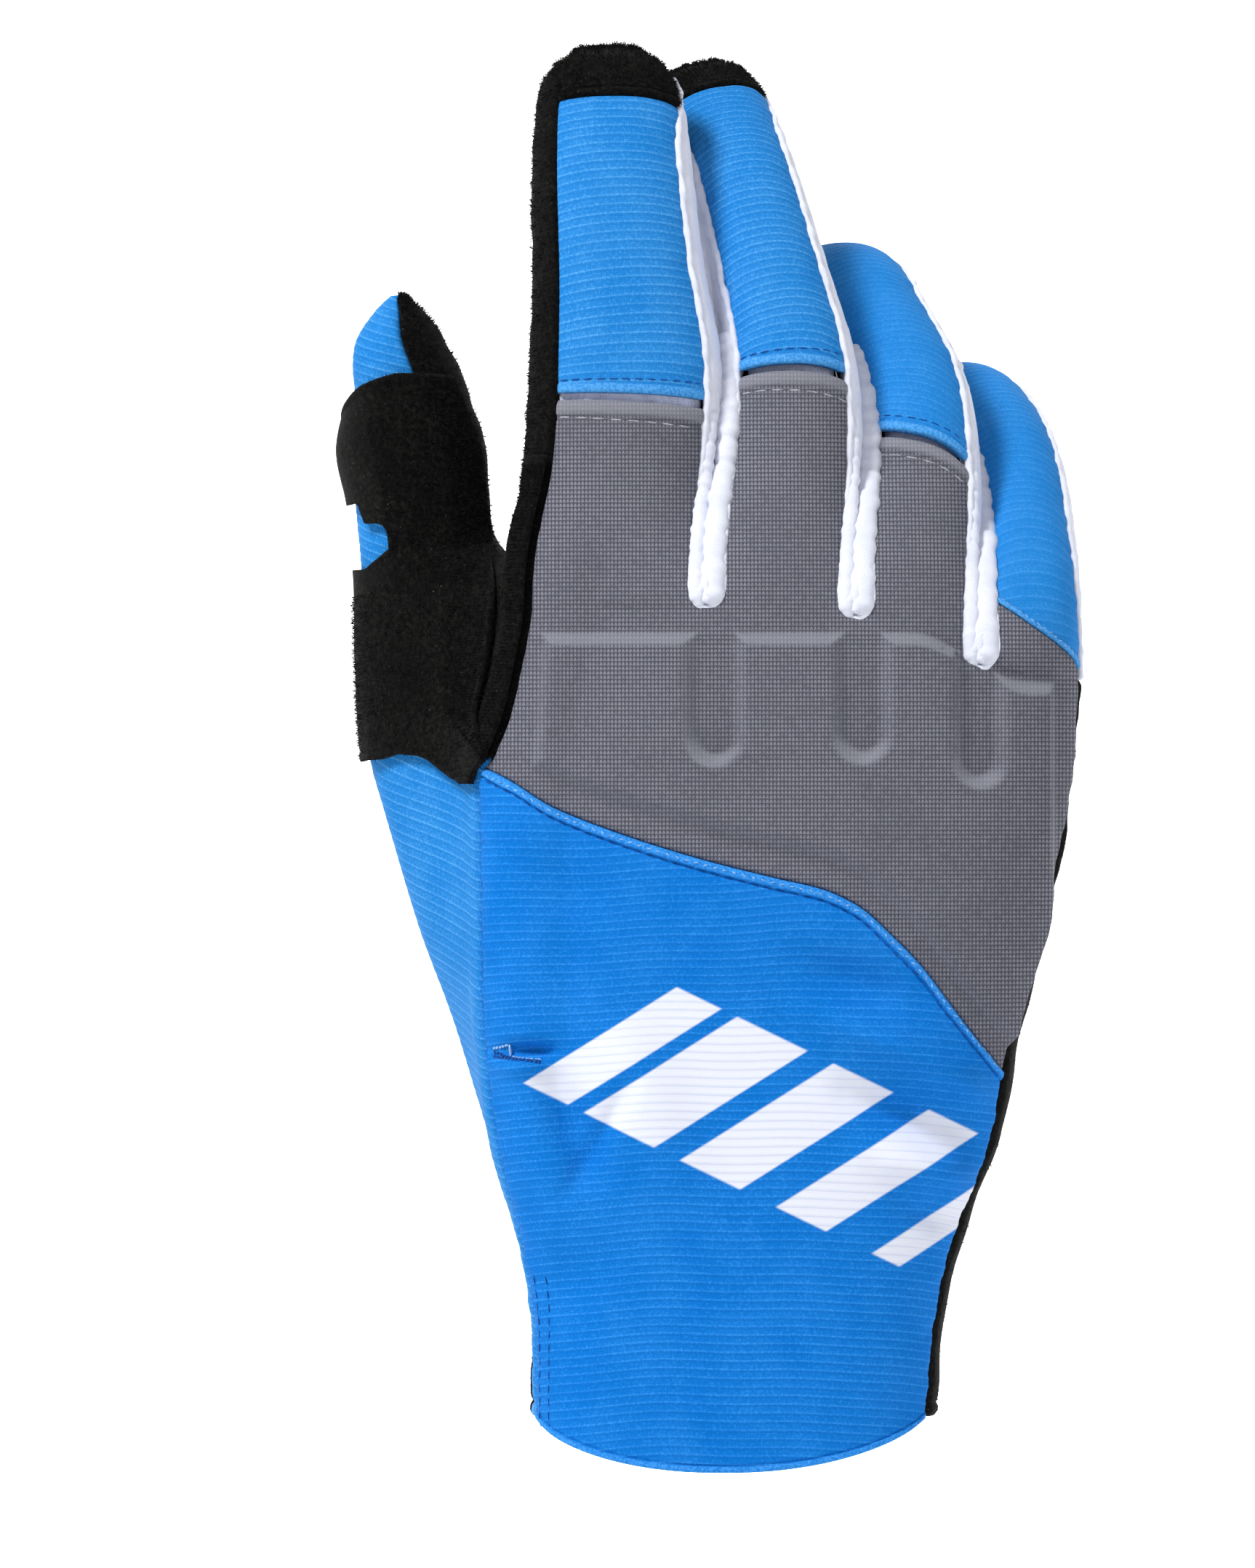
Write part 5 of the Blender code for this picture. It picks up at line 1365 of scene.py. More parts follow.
@dataclass
class Panel:
    """One cloth panel, built from fields that meet edge to edge."""

    name: str
    fields: list[Field]
    finish: Finish
    wall: float = 1.1 * MM
    raised: float = 0.0             # how far the whole panel lies above the skin
    lining_step: int = 0            # the lining keeps every row and column this many apart; 0 is a full copy
    weld: float = 0.02 * MM         # how near to each other the fields' edge points are merged
    even_out: int = 0               # how many times the ways that the cloth stands out are evened out

    def build(self) -> bpy.types.Object:
        """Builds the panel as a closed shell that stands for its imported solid.

        Returns:
            The panel.
        """
        body = bmesh.new()
        relief = body.verts.layers.float.new("relief")
        knit = body.verts.layers.float_vector.new("cloth")
        thickness = body.verts.layers.float.new("thickness")
        for field_ in self.fields:
            verts = lay_grid(body, field_.points)
            rises, walls = field_.relief.ravel().tolist(), (self.wall * field_.thickness).ravel().tolist()
            for vert, rise, wall, place in zip(verts, rises, walls, field_.knit.reshape(-1, 3).tolist()):
                vert[relief] = rise
                vert[thickness] = wall
                vert[knit] = place
        bmesh.ops.remove_doubles(body, verts=body.verts[:], dist=self.weld)
        bmesh.ops.dissolve_degenerate(body, edges=body.edges[:], dist=0.005 * MM)
        body.normal_update()
        flat = sum(face.calc_area() for face in body.faces)
        ways = {vert: vert.normal.copy() for vert in body.verts}
        for _ in range(self.even_out):
            ways = {
                vert: sum((ways[edge.other_vert(vert)] for edge in vert.link_edges), way).normalized()
                for vert, way in ways.items()
            }
        for vert, way in ways.items():
            vert.co += way * (vert[relief] + self.raised)
        outer_faces = len(body.faces)
        if self.lining_step:
            self.roll_rim(body, ways)
            self.lay_lining(body)
        else:
            self.thicken(body, ways)
        piece = finished(self.name, body, self.finish, prefix="cloth_")
        piece["outer_faces"] = outer_faces
        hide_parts(self.name)
        return piece

    def roll_rim(self, body: bmesh.types.BMesh, ways: dict[bmesh.types.BMVert, Vector]) -> None:
        """Turns the border under in two equal steps, so that the edge looks as thick as the cloth."""
        for _ in range(2):
            border = [edge for edge in body.edges if edge.is_boundary]
            made = bmesh.ops.extrude_edge_only(body, edges=border)["geom"]
            for vert, source in self.sources(made):
                ways[vert] = ways[source]
                vert.co = source.co - ways[source] * self.wall * 0.5

    def thicken(self, body: bmesh.types.BMesh, ways: dict[bmesh.types.BMVert, Vector]) -> None:
        """Gives the panel its wall: a full copy, one thickness deeper and turned inwards, closed by a rim."""
        border = [edge for edge in body.edges if edge.is_boundary]
        outer = list(ways)
        thickness = body.verts.layers.float["thickness"]
        copied = bmesh.ops.duplicate(body, geom=body.verts[:] + body.edges[:] + body.faces[:])
        bmesh.ops.reverse_faces(body, faces=only(bmesh.types.BMFace, copied["geom"]))
        inner = [copied["vert_map"][vert] for vert in outer]
        for vert, deep in zip(outer, inner):
            deep.co = vert.co - ways[vert] * vert[thickness]
        made = self.sources(bmesh.ops.extrude_edge_only(body, edges=border)["geom"])
        for vert, source in made:
            vert.co = source.co - ways[source] * source[thickness]
        bmesh.ops.remove_doubles(body, verts=inner + [vert for vert, _ in made], dist=0.001 * MM)

    @staticmethod
    def sources(made: list) -> list[tuple[bmesh.types.BMVert, bmesh.types.BMVert]]:
        """Each corner that an extrusion has made, with the corner that it comes from."""
        fresh = only(bmesh.types.BMVert, made)
        known = set(fresh)
        around = {vert: [edge.other_vert(vert) for edge in vert.link_edges] for vert in fresh}
        return [(vert, next(other for other in around[vert] if other not in known)) for vert in fresh]

    def lay_lining(self, body: bmesh.types.BMesh) -> None:
        """Closes the inside with a coarser copy of the fields, one wall deeper, joined to the rim."""
        rim = [edge for edge in body.edges if edge.is_boundary]
        lining: list[bmesh.types.BMVert] = []
        for field_ in self.fields:
            points = field_.points
            along, across = np.gradient(points, axis=0), np.gradient(points, axis=1)
            normal = np.cross(across, along)
            normal /= np.maximum(np.linalg.norm(normal, axis=-1, keepdims=True), 1e-12)
            rows, columns = (self.picked(count) for count in points.shape[:2])
            depth = (1.25 * self.wall - self.raised - field_.relief)[..., None]
            verts = lay_grid(body, (points - normal * depth)[np.ix_(rows, columns)])
            faces = list({face for vert in verts for face in vert.link_faces})
            bmesh.ops.reverse_faces(body, faces=faces)
            lining += verts
        bmesh.ops.remove_doubles(body, verts=lining, dist=0.3 * MM)
        known = set(rim)
        border = [edge for edge in body.edges if edge.is_boundary and edge not in known]
        bmesh.ops.bridge_loops(body, edges=rim + border)
        bmesh.ops.triangulate(body, faces=[face for face in body.faces if len(face.verts) > 4])

    def picked(self, count: int) -> Array:
        """Which rows or columns of a field the lining keeps: every few, counted back from the last."""
        kept = set(range(count - 1, -1, -self.lining_step)) | {0}
        return np.array(sorted(kept))


@dataclass
class Roll:
    """A rolled cloth edge along a line, a little uneven as a turned and sewn edge is."""

    name: str
    line: Array
    finish: Finish
    radius: float | Array
    unevenness: float = 0.14
    wave: float = 4.3 * MM
    flatness: float = 1.0
    sides: int = 12

    def build(self) -> bpy.types.Object:
        """Sweeps a ring along the line, ring by ring, and closes both ends."""
        line = self.line
        tangent = np.gradient(line, axis=0)
        tangent /= np.linalg.norm(tangent, axis=1, keepdims=True)
        length = np.arange(len(line)) * np.linalg.norm(line[1] - line[0])
        usual = float(np.mean(self.radius))
        swell = self.radius * (1 + self.unevenness * wander(length, self.wave, 2.0 + usual / MM))
        ends = np.minimum(length, length[-1] - length) / max(usual, 0.1 * MM)
        swell = swell * np.sqrt(np.clip(1 - (1 - np.clip(ends, 0, 1)) ** 2, 0.02, 1))
        side = np.cross(tangent, [0.0, 1.0, 0.0])
        side /= np.maximum(np.linalg.norm(side, axis=1, keepdims=True), 1e-9)
        up = np.cross(side, tangent)
        turn = np.linspace(0, 2 * math.pi, self.sides + 1)
        rings = line[:, None] + swell[:, None, None] * (
            side[:, None] * np.cos(turn)[None, :, None]
            + self.flatness * up[:, None] * np.sin(turn)[None, :, None])
        body = bmesh.new()
        lay_grid(body, rings)
        bmesh.ops.remove_doubles(body, verts=body.verts[:], dist=1e-3 * MM)
        bmesh.ops.holes_fill(body, edges=[edge for edge in body.edges if edge.is_boundary], sides=0)
        bmesh.ops.recalc_face_normals(body, faces=body.faces[:])
        return finished(self.name, body, self.finish)


@dataclass
class StitchRow:
    """A row of stitches laid on a cloth panel along a line."""

    name: str
    line: Array
    finish: Finish
    length: float = 1.6 * MM
    gap: float = 0.8 * MM
    width: float = 0.34 * MM
    lift: float = 0.04 * MM
    waver: float = 0.05
    step: float = 0.1 * MM

    def build(self, panel: bpy.types.Object) -> bpy.types.Object:
        """Builds the row on a panel's outer side.

        Args:
            panel: The panel that the stitches hold down.

        Returns:
            The row as one piece.
        """
        outer = panel.data.polygons[:panel["outer_faces"]]
        tree = BVHTree.FromPolygons(
            [vert.co for vert in panel.data.vertices], [tuple(face.vertices) for face in outer])
        line = even_line(self.line, self.step)
        pitch = self.length + self.gap
        body = bmesh.new()
        for number in range(int((len(line) - 1) * self.step / pitch)):
            middle = (number + 0.5) * pitch / self.step
            ends = [int(middle + sign * 0.5 * self.length / self.step) for sign in (-1, 1)]
            (start, start_way, *_), (stop, stop_way, *_) = (
                tree.find_nearest(Vector(line[min(end, len(line) - 1)])) for end in ends)
            along, out = stop - start, (start_way + stop_way).normalized()
            side = out.cross(along).normalized()
            along = along + side * along.length * self.waver * math.sin(7.1 * number)
            place = Matrix((along.normalized(), side, out)).transposed().to_4x4()
            place.translation = (start + stop) / 2 + out * self.lift
            size = Matrix.Diagonal((along.length / 2, self.width / 2, self.width / 2, 1.0))
            bmesh.ops.create_uvsphere(body, u_segments=6, v_segments=5, radius=1.0,
                                      matrix=place @ size @ Matrix.Rotation(math.pi / 2, 4, "Y"))
        return finished(self.name, body, self.finish)


@dataclass
class Nap:
    """Loose fibres that stand out of a suede panel and soften its outline."""

    name: str
    count: int
    finish: Finish = SUEDE
    length: tuple[float, float] = (0.3 * MM, 1.2 * MM)
    thickness: float = 0.085 * MM
    standing: float = 0.42
    batch: int = 60
    seed: int = 3

    def build(self, panel: bpy.types.Object) -> bpy.types.Object:
        """Sets the fibres on the panel's outer side.

        Args:
            panel: The suede panel.

        Returns:
            The fibres as one piece.
        """
        chance = random.Random(self.seed)
        body, made = bmesh.new(), bpy.data.meshes.new("nap_batch")
        # Each batch is made on its own and then added, because a growing mesh takes new cones ever more slowly
        for first in range(0, self.count, self.batch):
            batch = bmesh.new()
            for _ in range(first, min(first + self.batch, self.count)):
                face = panel.data.polygons[chance.randrange(panel["outer_faces"])]
                lean = Vector([chance.uniform(-0.8, 0.8) for _ in range(3)])
                way = (face.normal + lean).normalized()
                length = chance.uniform(*self.length)
                place = Matrix.Translation(face.center + self.standing * length * way)
                turn = way.to_track_quat("Z", "Y").to_matrix().to_4x4()
                bmesh.ops.create_cone(batch, cap_ends=False, segments=3, radius1=self.thickness,
                                      radius2=0.2 * self.thickness, depth=length, matrix=place @ turn)
            batch.to_mesh(made)
            batch.free()
            body.from_mesh(made)
        bpy.data.meshes.remove(made)
        return finished(self.name, body, self.finish)


@dataclass
class CuffBack:
    """The blue cuff panel on the back, from the hem to the slanting seam below the knuckles."""

    hand: Hand
    rows: int = 620
    columns: int = 88
    rib_pitch: float = 1.4 * MM
    rib_height: float = 0.07 * MM
    rib_bow: float = 2.2 * MM
    rib_slope: float = 0.12
    rib_unevenness: float = 0.3 * MM
    hem_width: float = 1.1 * MM
    band_width: float = 1.5 * MM
    fold_strength: float = 3.0
    # Each fold runs from one point to another: X and Z in millimetres of both, then half width and rise
    folds: tuple[tuple[float, ...], ...] = (
        (-41.0, 59.5, -30.0, 60.0, 1.3, -1.0),
        (-41.0, 57.0, -31.0, 57.4, 1.6, 0.5),
        (-31.0, 58.0, -24.0, 40.0, 3.8, -1.1),
        (-21.0, 66.0, -9.0, 44.0, 5.4, 0.8),
        (-28.0, 36.0, -17.0, 55.0, 1.6, -0.5),
        (22.0, 62.0, 41.0, 53.0, 3.2, 1.1),
        (19.0, 53.0, 39.0, 45.0, 2.9, -1.0),
        (22.0, 43.0, 41.0, 38.0, 3.2, 1.0),
        (28.0, 34.0, 40.0, 30.0, 2.6, -0.6),
        (11.0, 74.0, 28.0, 68.0, 4.0, -0.8),
        (13.0, 66.0, 30.0, 60.0, 3.4, 0.6),
        (-38.0, 90.0, -20.0, 84.0, 5.0, -0.4),
        (-34.0, 20.0, -22.0, 24.0, 5.5, -0.5),
    )

    def build(self) -> bpy.types.Object:
        """Builds the panel."""
        share = np.linspace(0, 1, self.columns)
        low, high = self.hand.hem_height(share), self.hand.slant_height(share)
        rise = np.linspace(0, 1, self.rows)[:, None]
        points = self.hand.palm_point("back", share, mix(low, high, rise))
        cloth = Field.lay(points, self.rib_count(points, share, high))
        cloth.sewn(("left", "right"), pucker=0.22 * MM).hemmed("bottom", self.hem_width)
        cloth.hemmed("top", self.band_width, 0.4 * MM)
        cloth.relief += self.fold_relief(points) * ease(8 * share) * ease(8 * (1 - share)) * ease(12 * rise)
        cloth.ribbed(self.rib_height)
        panel = Panel("cuff_back", [cloth], PRINTED_BLUE, lining_step=14).build()
        inner = slice(2, -2)
        band = self.hand.palm_point("back", share[inner], high[inner] - 0.75 * MM)
        row = StitchRow("slant_band_flecks", band, PALE_BLUE_THREAD, 0.7 * MM, 0.9 * MM, 0.22 * MM, waver=0.5)
        row.build(panel)
        below = self.hand.palm_point("back", share[inner], high[inner] - 1.75 * MM)
        StitchRow("slant_band_stitches", below, BLUE_THREAD, 1.5 * MM, 0.7 * MM, 0.22 * MM).build(panel)
        self.side_stitches(panel)
        return panel

    def side_stitches(self, panel: bpy.types.Object) -> None:
        """The double row up the left side from the hem and the dense bar across the dart above it."""
        for number, share in enumerate((0.035, 0.075)):
            line = self.hand.palm_point("back", share, np.linspace(-3.0, 24.0, 30) * MM)
            row = StitchRow(f"cuff_side_stitches_{number}", line, BLUE_THREAD, 1.5 * MM, 0.7 * MM, 0.26 * MM)
            row.build(panel)
        bars = ((60.1, PALE_BLUE_THREAD), (59.5, BLUE_THREAD), (58.9, BLUE_THREAD))
        for number, (up, thread) in enumerate(bars):
            share = np.linspace(0.03, 0.15, 20)
            line = self.hand.palm_point("back", share, up * MM - 5 * MM * (share - 0.03))
            row = StitchRow(f"dart_bar_{number}", line, thread, 0.7 * MM, 0.05 * MM, 0.5 * MM, waver=0.25)
            row.build(panel)

    def rib_count(self, points: Array, share: Array, high: Array) -> Array:
        """Each point's place in ribs: level lines that follow the slanting seam a little at the top left."""
        height = points[..., 2]
        near_top = ease((height - 0.55 * high) / (0.45 * high)) * (1 - ease(share / 0.6))
        bow = self.rib_bow * (2 * share - 1) ** 2
        slope = self.rib_slope * (points[..., 0] - points[:, :1, 0]) * near_top
        uneven = self.rib_unevenness * wander(points[..., 0], 37 * MM, 1.0)
        return (height + bow + slope + uneven) / self.rib_pitch

    def fold_relief(self, points: Array) -> Array:
        """How far the folds and dents stand out."""
        lift = np.zeros(points.shape[:-1])
        flat = points[..., [0, 2]]
        for x0, z0, x1, z1, half_width, rise in self.folds:
            start, end = np.array([x0, z0]) * MM, np.array([x1, z1]) * MM
            way = end - start
            along = np.clip((flat - start) @ way / (way @ way), 0, 1)
            distance = np.linalg.norm(flat - start - along[..., None] * way, axis=-1)
            height = self.fold_strength * rise * MM * np.sin(math.pi * mix(0.12, 0.88, along))
            lift += height * bell(distance, half_width * MM)
        return lift


@dataclass
class KnucklePanel:
    """The grey knit panel over the knuckles, with its moulded pads and a lobe on each finger."""

    hand: Hand
    rows: int = 190
    lobe_rows: int = 90
    finger_columns: int = 48
    pad_rise: float = 2.0 * MM
    pad_top: float = 0.972
    pad_left: float = -0.335
    pad_right: float = 0.555
    pad_margin: float = 4.2 * MM
    pad_lean: float = 0.10
    pad_drop: tuple[float, float, float] = (0.06, 0.30, 0.2)
    pad_bevel: float = 2.9 * MM
    low_bevel: float = 3.4 * MM
    # Each groove: across as a share of the knuckles' width, its lower end as one of the palm's length, and its
    # half width in metres
    grooves: tuple[tuple[float, float, float], ...] = (
        (-0.035, 0.842, 2.6 * MM), (0.217, 0.845, 2.5 * MM), (0.415, 0.812, 2.1 * MM),
    )

    def build(self) -> bpy.types.Object:
        """Builds the panel."""
        hand = self.hand
        columns = between(hand.back_forks, self.finger_columns)
        low, high = hand.slant_height(columns), hand.back_top(columns)
        rise = np.linspace(0, 1, self.rows)[:, None]
        field_ = Field.lay(hand.palm_point("back", columns, mix(low, high, rise)))
        field_.sewn(("bottom", "left", "right"), pucker=0.15 * MM)
        self.pad(field_)
        fields = [field_]
        across = np.linspace(0, 1, self.finger_columns + 1)
        for name in FINGERS:
            rows = np.linspace(0, 1, self.lobe_rows) ** 1.2 * hand.lobe_top[name]
            if name == "pinky":
                rows = mix(rows[:, None], hand.pinky_right_rows(rows)[:, None], across)
            part = Field.lay(hand.finger_back(name, rows, across)).sewn(("left",)).sewn(("right",))
            self.fade_at_fork(part, name)
            if name == "pinky":
                part.sewn(("top",))
            else:
                part.hemmed("top", 2.5 * MM, 0.3 * MM)
            self.pad(part)
            fields.append(part)
        panel = Panel("knuckle_panel", fields, GREY).build()
        for name in FINGERS[:3]:
            top = hand.lobe_top[name] - 3.1 * MM / hand.lengths[name]
            line = hand.finger_back(name, np.array([top]), np.linspace(0.02, 0.98, 30))[0]
            StitchRow(f"{name}_lobe_stitches", line, GREY_THREAD, 2.0 * MM, 0.9 * MM, 0.3 * MM).build(panel)
        return panel

    def fade_at_fork(self, part: Field, name: str) -> None:
        """Lets a lobe's rolled side edges start at the fork's bottom, where the panel still goes on."""
        distance = edge_distances(part.points)
        outer = {"index": "left", "pinky": "right"}.get(name)
        keep = ease(distance["bottom"] / (2.0 * MM))
        near_outer = bell(distance[outer], 1.5 * MM) if outer else 0
        part.relief *= np.maximum(keep, near_outer)

    def pad(self, field_: Field) -> None:
        """Raises the moulded pads in a field and marks their bevels for a painted highlight, strongest where a
        bevel faces up.
        """
        lift = self.pads(field_.points)
        field_.relief += self.pad_rise * lift
        # Painted highlight: a share of lighter grey on every bevel, more on bevels that face up towards the light
        climb = np.gradient(lift, axis=0) / np.gradient(field_.points[..., 2], axis=0) * self.pad_bevel
        field_.knit[..., 1] = 0.8 * lift * (1 - lift) + 0.8 * np.clip(-climb, 0, 1)

    def pads(self, points: Array) -> Array:
        """How far the moulded pads stand out, as a share of their height."""
        hand = self.hand
        x, z = points[..., 0] / hand.knuckle_width, points[..., 2] / hand.palm_length
        drop, drop_start, drop_run = self.pad_drop
        top = (self.pad_top - drop * ease((x - drop_start) / drop_run) - z) * hand.palm_length
        left = (x - self.pad_left + self.pad_lean * (1 - z)) * hand.knuckle_width
        right = (self.pad_right - x) * hand.knuckle_width
        below = points[..., 2] - hand.slant.read("z", x) * hand.palm_length - self.pad_margin
        upper = ease(np.minimum.reduce([top, left, right]) / self.pad_bevel)
        lift = np.minimum(upper, ease(below / self.low_bevel))
        for across, bottom, half_width in self.grooves:
            dx = (x - across) * hand.knuckle_width
            dz = np.minimum(0, points[..., 2] - bottom * hand.palm_length)
            lift = np.minimum(lift, ease((np.hypot(dx, dz) - half_width) / self.pad_bevel))
        return lift


@dataclass
class FingerBack:
    """The blue back of a finger, the black cap over its tip and the mesh strip in the vent below it."""

    hand: Hand
    name: str
    rib_pitch: float = 1.4 * MM
    rib_bow: float = 0.7 * MM
    rib_height: float = 0.06 * MM
    knit: Finish = BLUE
    gusset_sink: float = 1.3 * MM
    rows_per_rib: int = 6
    columns: int = 44
    cap_rows: int = 40
    gusset_reach: float = 3.6 * MM

    def build(self) -> list[bpy.types.Object]:
        """Builds the finger's back pieces."""
        hand, name = self.hand, self.name
        vented = name != "pinky"
        start = hand.lobe_top[name] + (hand.vent_height / hand.lengths[name] if vented else 0)
        end = hand.cap_start[name]
        across = np.linspace(0, 1, self.columns)
        count = round((end - start) * hand.lengths[name] / self.rib_pitch * self.rows_per_rib)
        rows = np.linspace(start, end, count)
        if name == "pinky":
            rows = mix(rows[:, None], hand.pinky_right_rows(rows)[:, None], across)
        points = hand.finger_back(name, rows, across)
        along = (rows[:, None] if rows.ndim == 1 else rows) + 0 * across
        if end == 1:
            points = hand.close_tip(name, points)
            beyond = 0.3 * MM / hand.lengths[name] * np.arange(1, TIP_ROWS + 1)[:, None]
            along = np.concatenate([along, along[-1:] + beyond])
        bow = self.rib_bow * ((2 * across - 1) ** 2 + 0.25 * across)
        cloth = Field.lay(points, (along * hand.lengths[name] + bow) / self.rib_pitch)
        cloth.sewn(("left", "right"), pucker=0.2 * MM)
        cloth.hemmed("bottom", 1.6 * MM if vented else 0.9 * MM, 0.2 * MM)
        if end < 1:
            cloth.sewn(("top",), depth=0.9 * MM)
        cloth.ribbed(self.rib_height)
        panel = Panel(name + "_back", [cloth], self.knit).build()
        pieces = [panel]
        if vented:
            row = self.stitches("hem", start + 2.2 * MM / hand.lengths[name], across[1:-1], BLUE_THREAD,
                                1.5 * MM, 0.6 * MM, 0.26 * MM)
        else:
            row = self.stitches("seam", rows[:1] + 0.5 * MM / hand.lengths[name], across, PALE_BLUE_THREAD,
                                0.7 * MM, 0.5 * MM, 0.16 * MM, kind="flecks", waver=0.9)
        pieces.append(row.build(panel))
        if end < 1:
            pieces += self.cap(end, across)
        if vented:
            pieces.append(self.gusset(start))
        return pieces

    def stitches(self, place: str, row: Array | float, across: Array, thread: Finish, length: float, gap: float,
                 width: float, kind: str = "stitches", waver: float = 0.05) -> StitchRow:
        """A row of stitches across the finger.

        Args:
            place: What the row holds down.
            row: The share along the finger, for the row or for each column.
            across: The columns.
            thread: What it is sewn with.
            length: How long each stitch is.
            gap: How far apart they are.
            width: How thick the thread is.
            kind: What the row's stitches are called.
            waver: How unevenly they lie.

        Returns:
            The row, not yet built.
        """
        rows = np.array([row]) if np.ndim(row) == 0 else row
        line = self.hand.finger_back(self.name, rows, across)[0]
        return StitchRow(f"{self.name}_{place}_{kind}", line, thread, length, gap, width, waver=waver)

    def cap(self, end: float, across: Array) -> list[bpy.types.Object]:
        """The black cap over the fingertip, with its nap and its stitches.

        Args:
            end: The share along the finger where it starts.
            across: The columns.

        Returns:
            The three pieces.
        """
        hand, name = self.hand, self.name
        points = hand.finger_back(name, np.linspace(end, 1, self.cap_rows), across)
        cap = Field.lay(hand.close_tip(name, points))
        cap.sewn(("left", "right"), depth=0.9 * MM, width=1.4 * MM)
        cap.hemmed("bottom", 1.4 * MM, 0.35 * MM)
        cap.relief += 0.14 * MM * wander(cap.points[..., 0] + 0.7 * cap.points[..., 2], 5.5 * MM, 2.0)
        panel = Panel(name + "_tip_cap", [cap], SUEDE).build()
        nap = Nap(name + "_cap_nap", 2600).build(panel)
        row = self.stitches("cap", end + 1.9 * MM / hand.lengths[name], across[1:-1], BLACK_THREAD,
                            1.4 * MM, 0.8 * MM, 0.28 * MM)
        return [panel, nap, row.build(panel)]

    def gusset(self, start: float) -> bpy.types.Object:
        """The mesh strip in the vent, which reaches in under both hems; start is the blue hem's place."""
        hand, name = self.hand, self.name
        reach = self.gusset_reach / hand.lengths[name]
        rows = np.linspace(hand.lobe_top[name] - reach, start + reach, 14)
        strip = Field.lay(hand.finger_back(name, rows, np.linspace(0.0, 1.0, 34)))
        strip.relief += 0.12 * MM * wander(strip.points[..., 0], 4.2 * MM, 1.0)
        return Panel(name + "_flex_gusset", [strip], MESH, wall=0.5 * MM, raised=-self.gusset_sink).build()


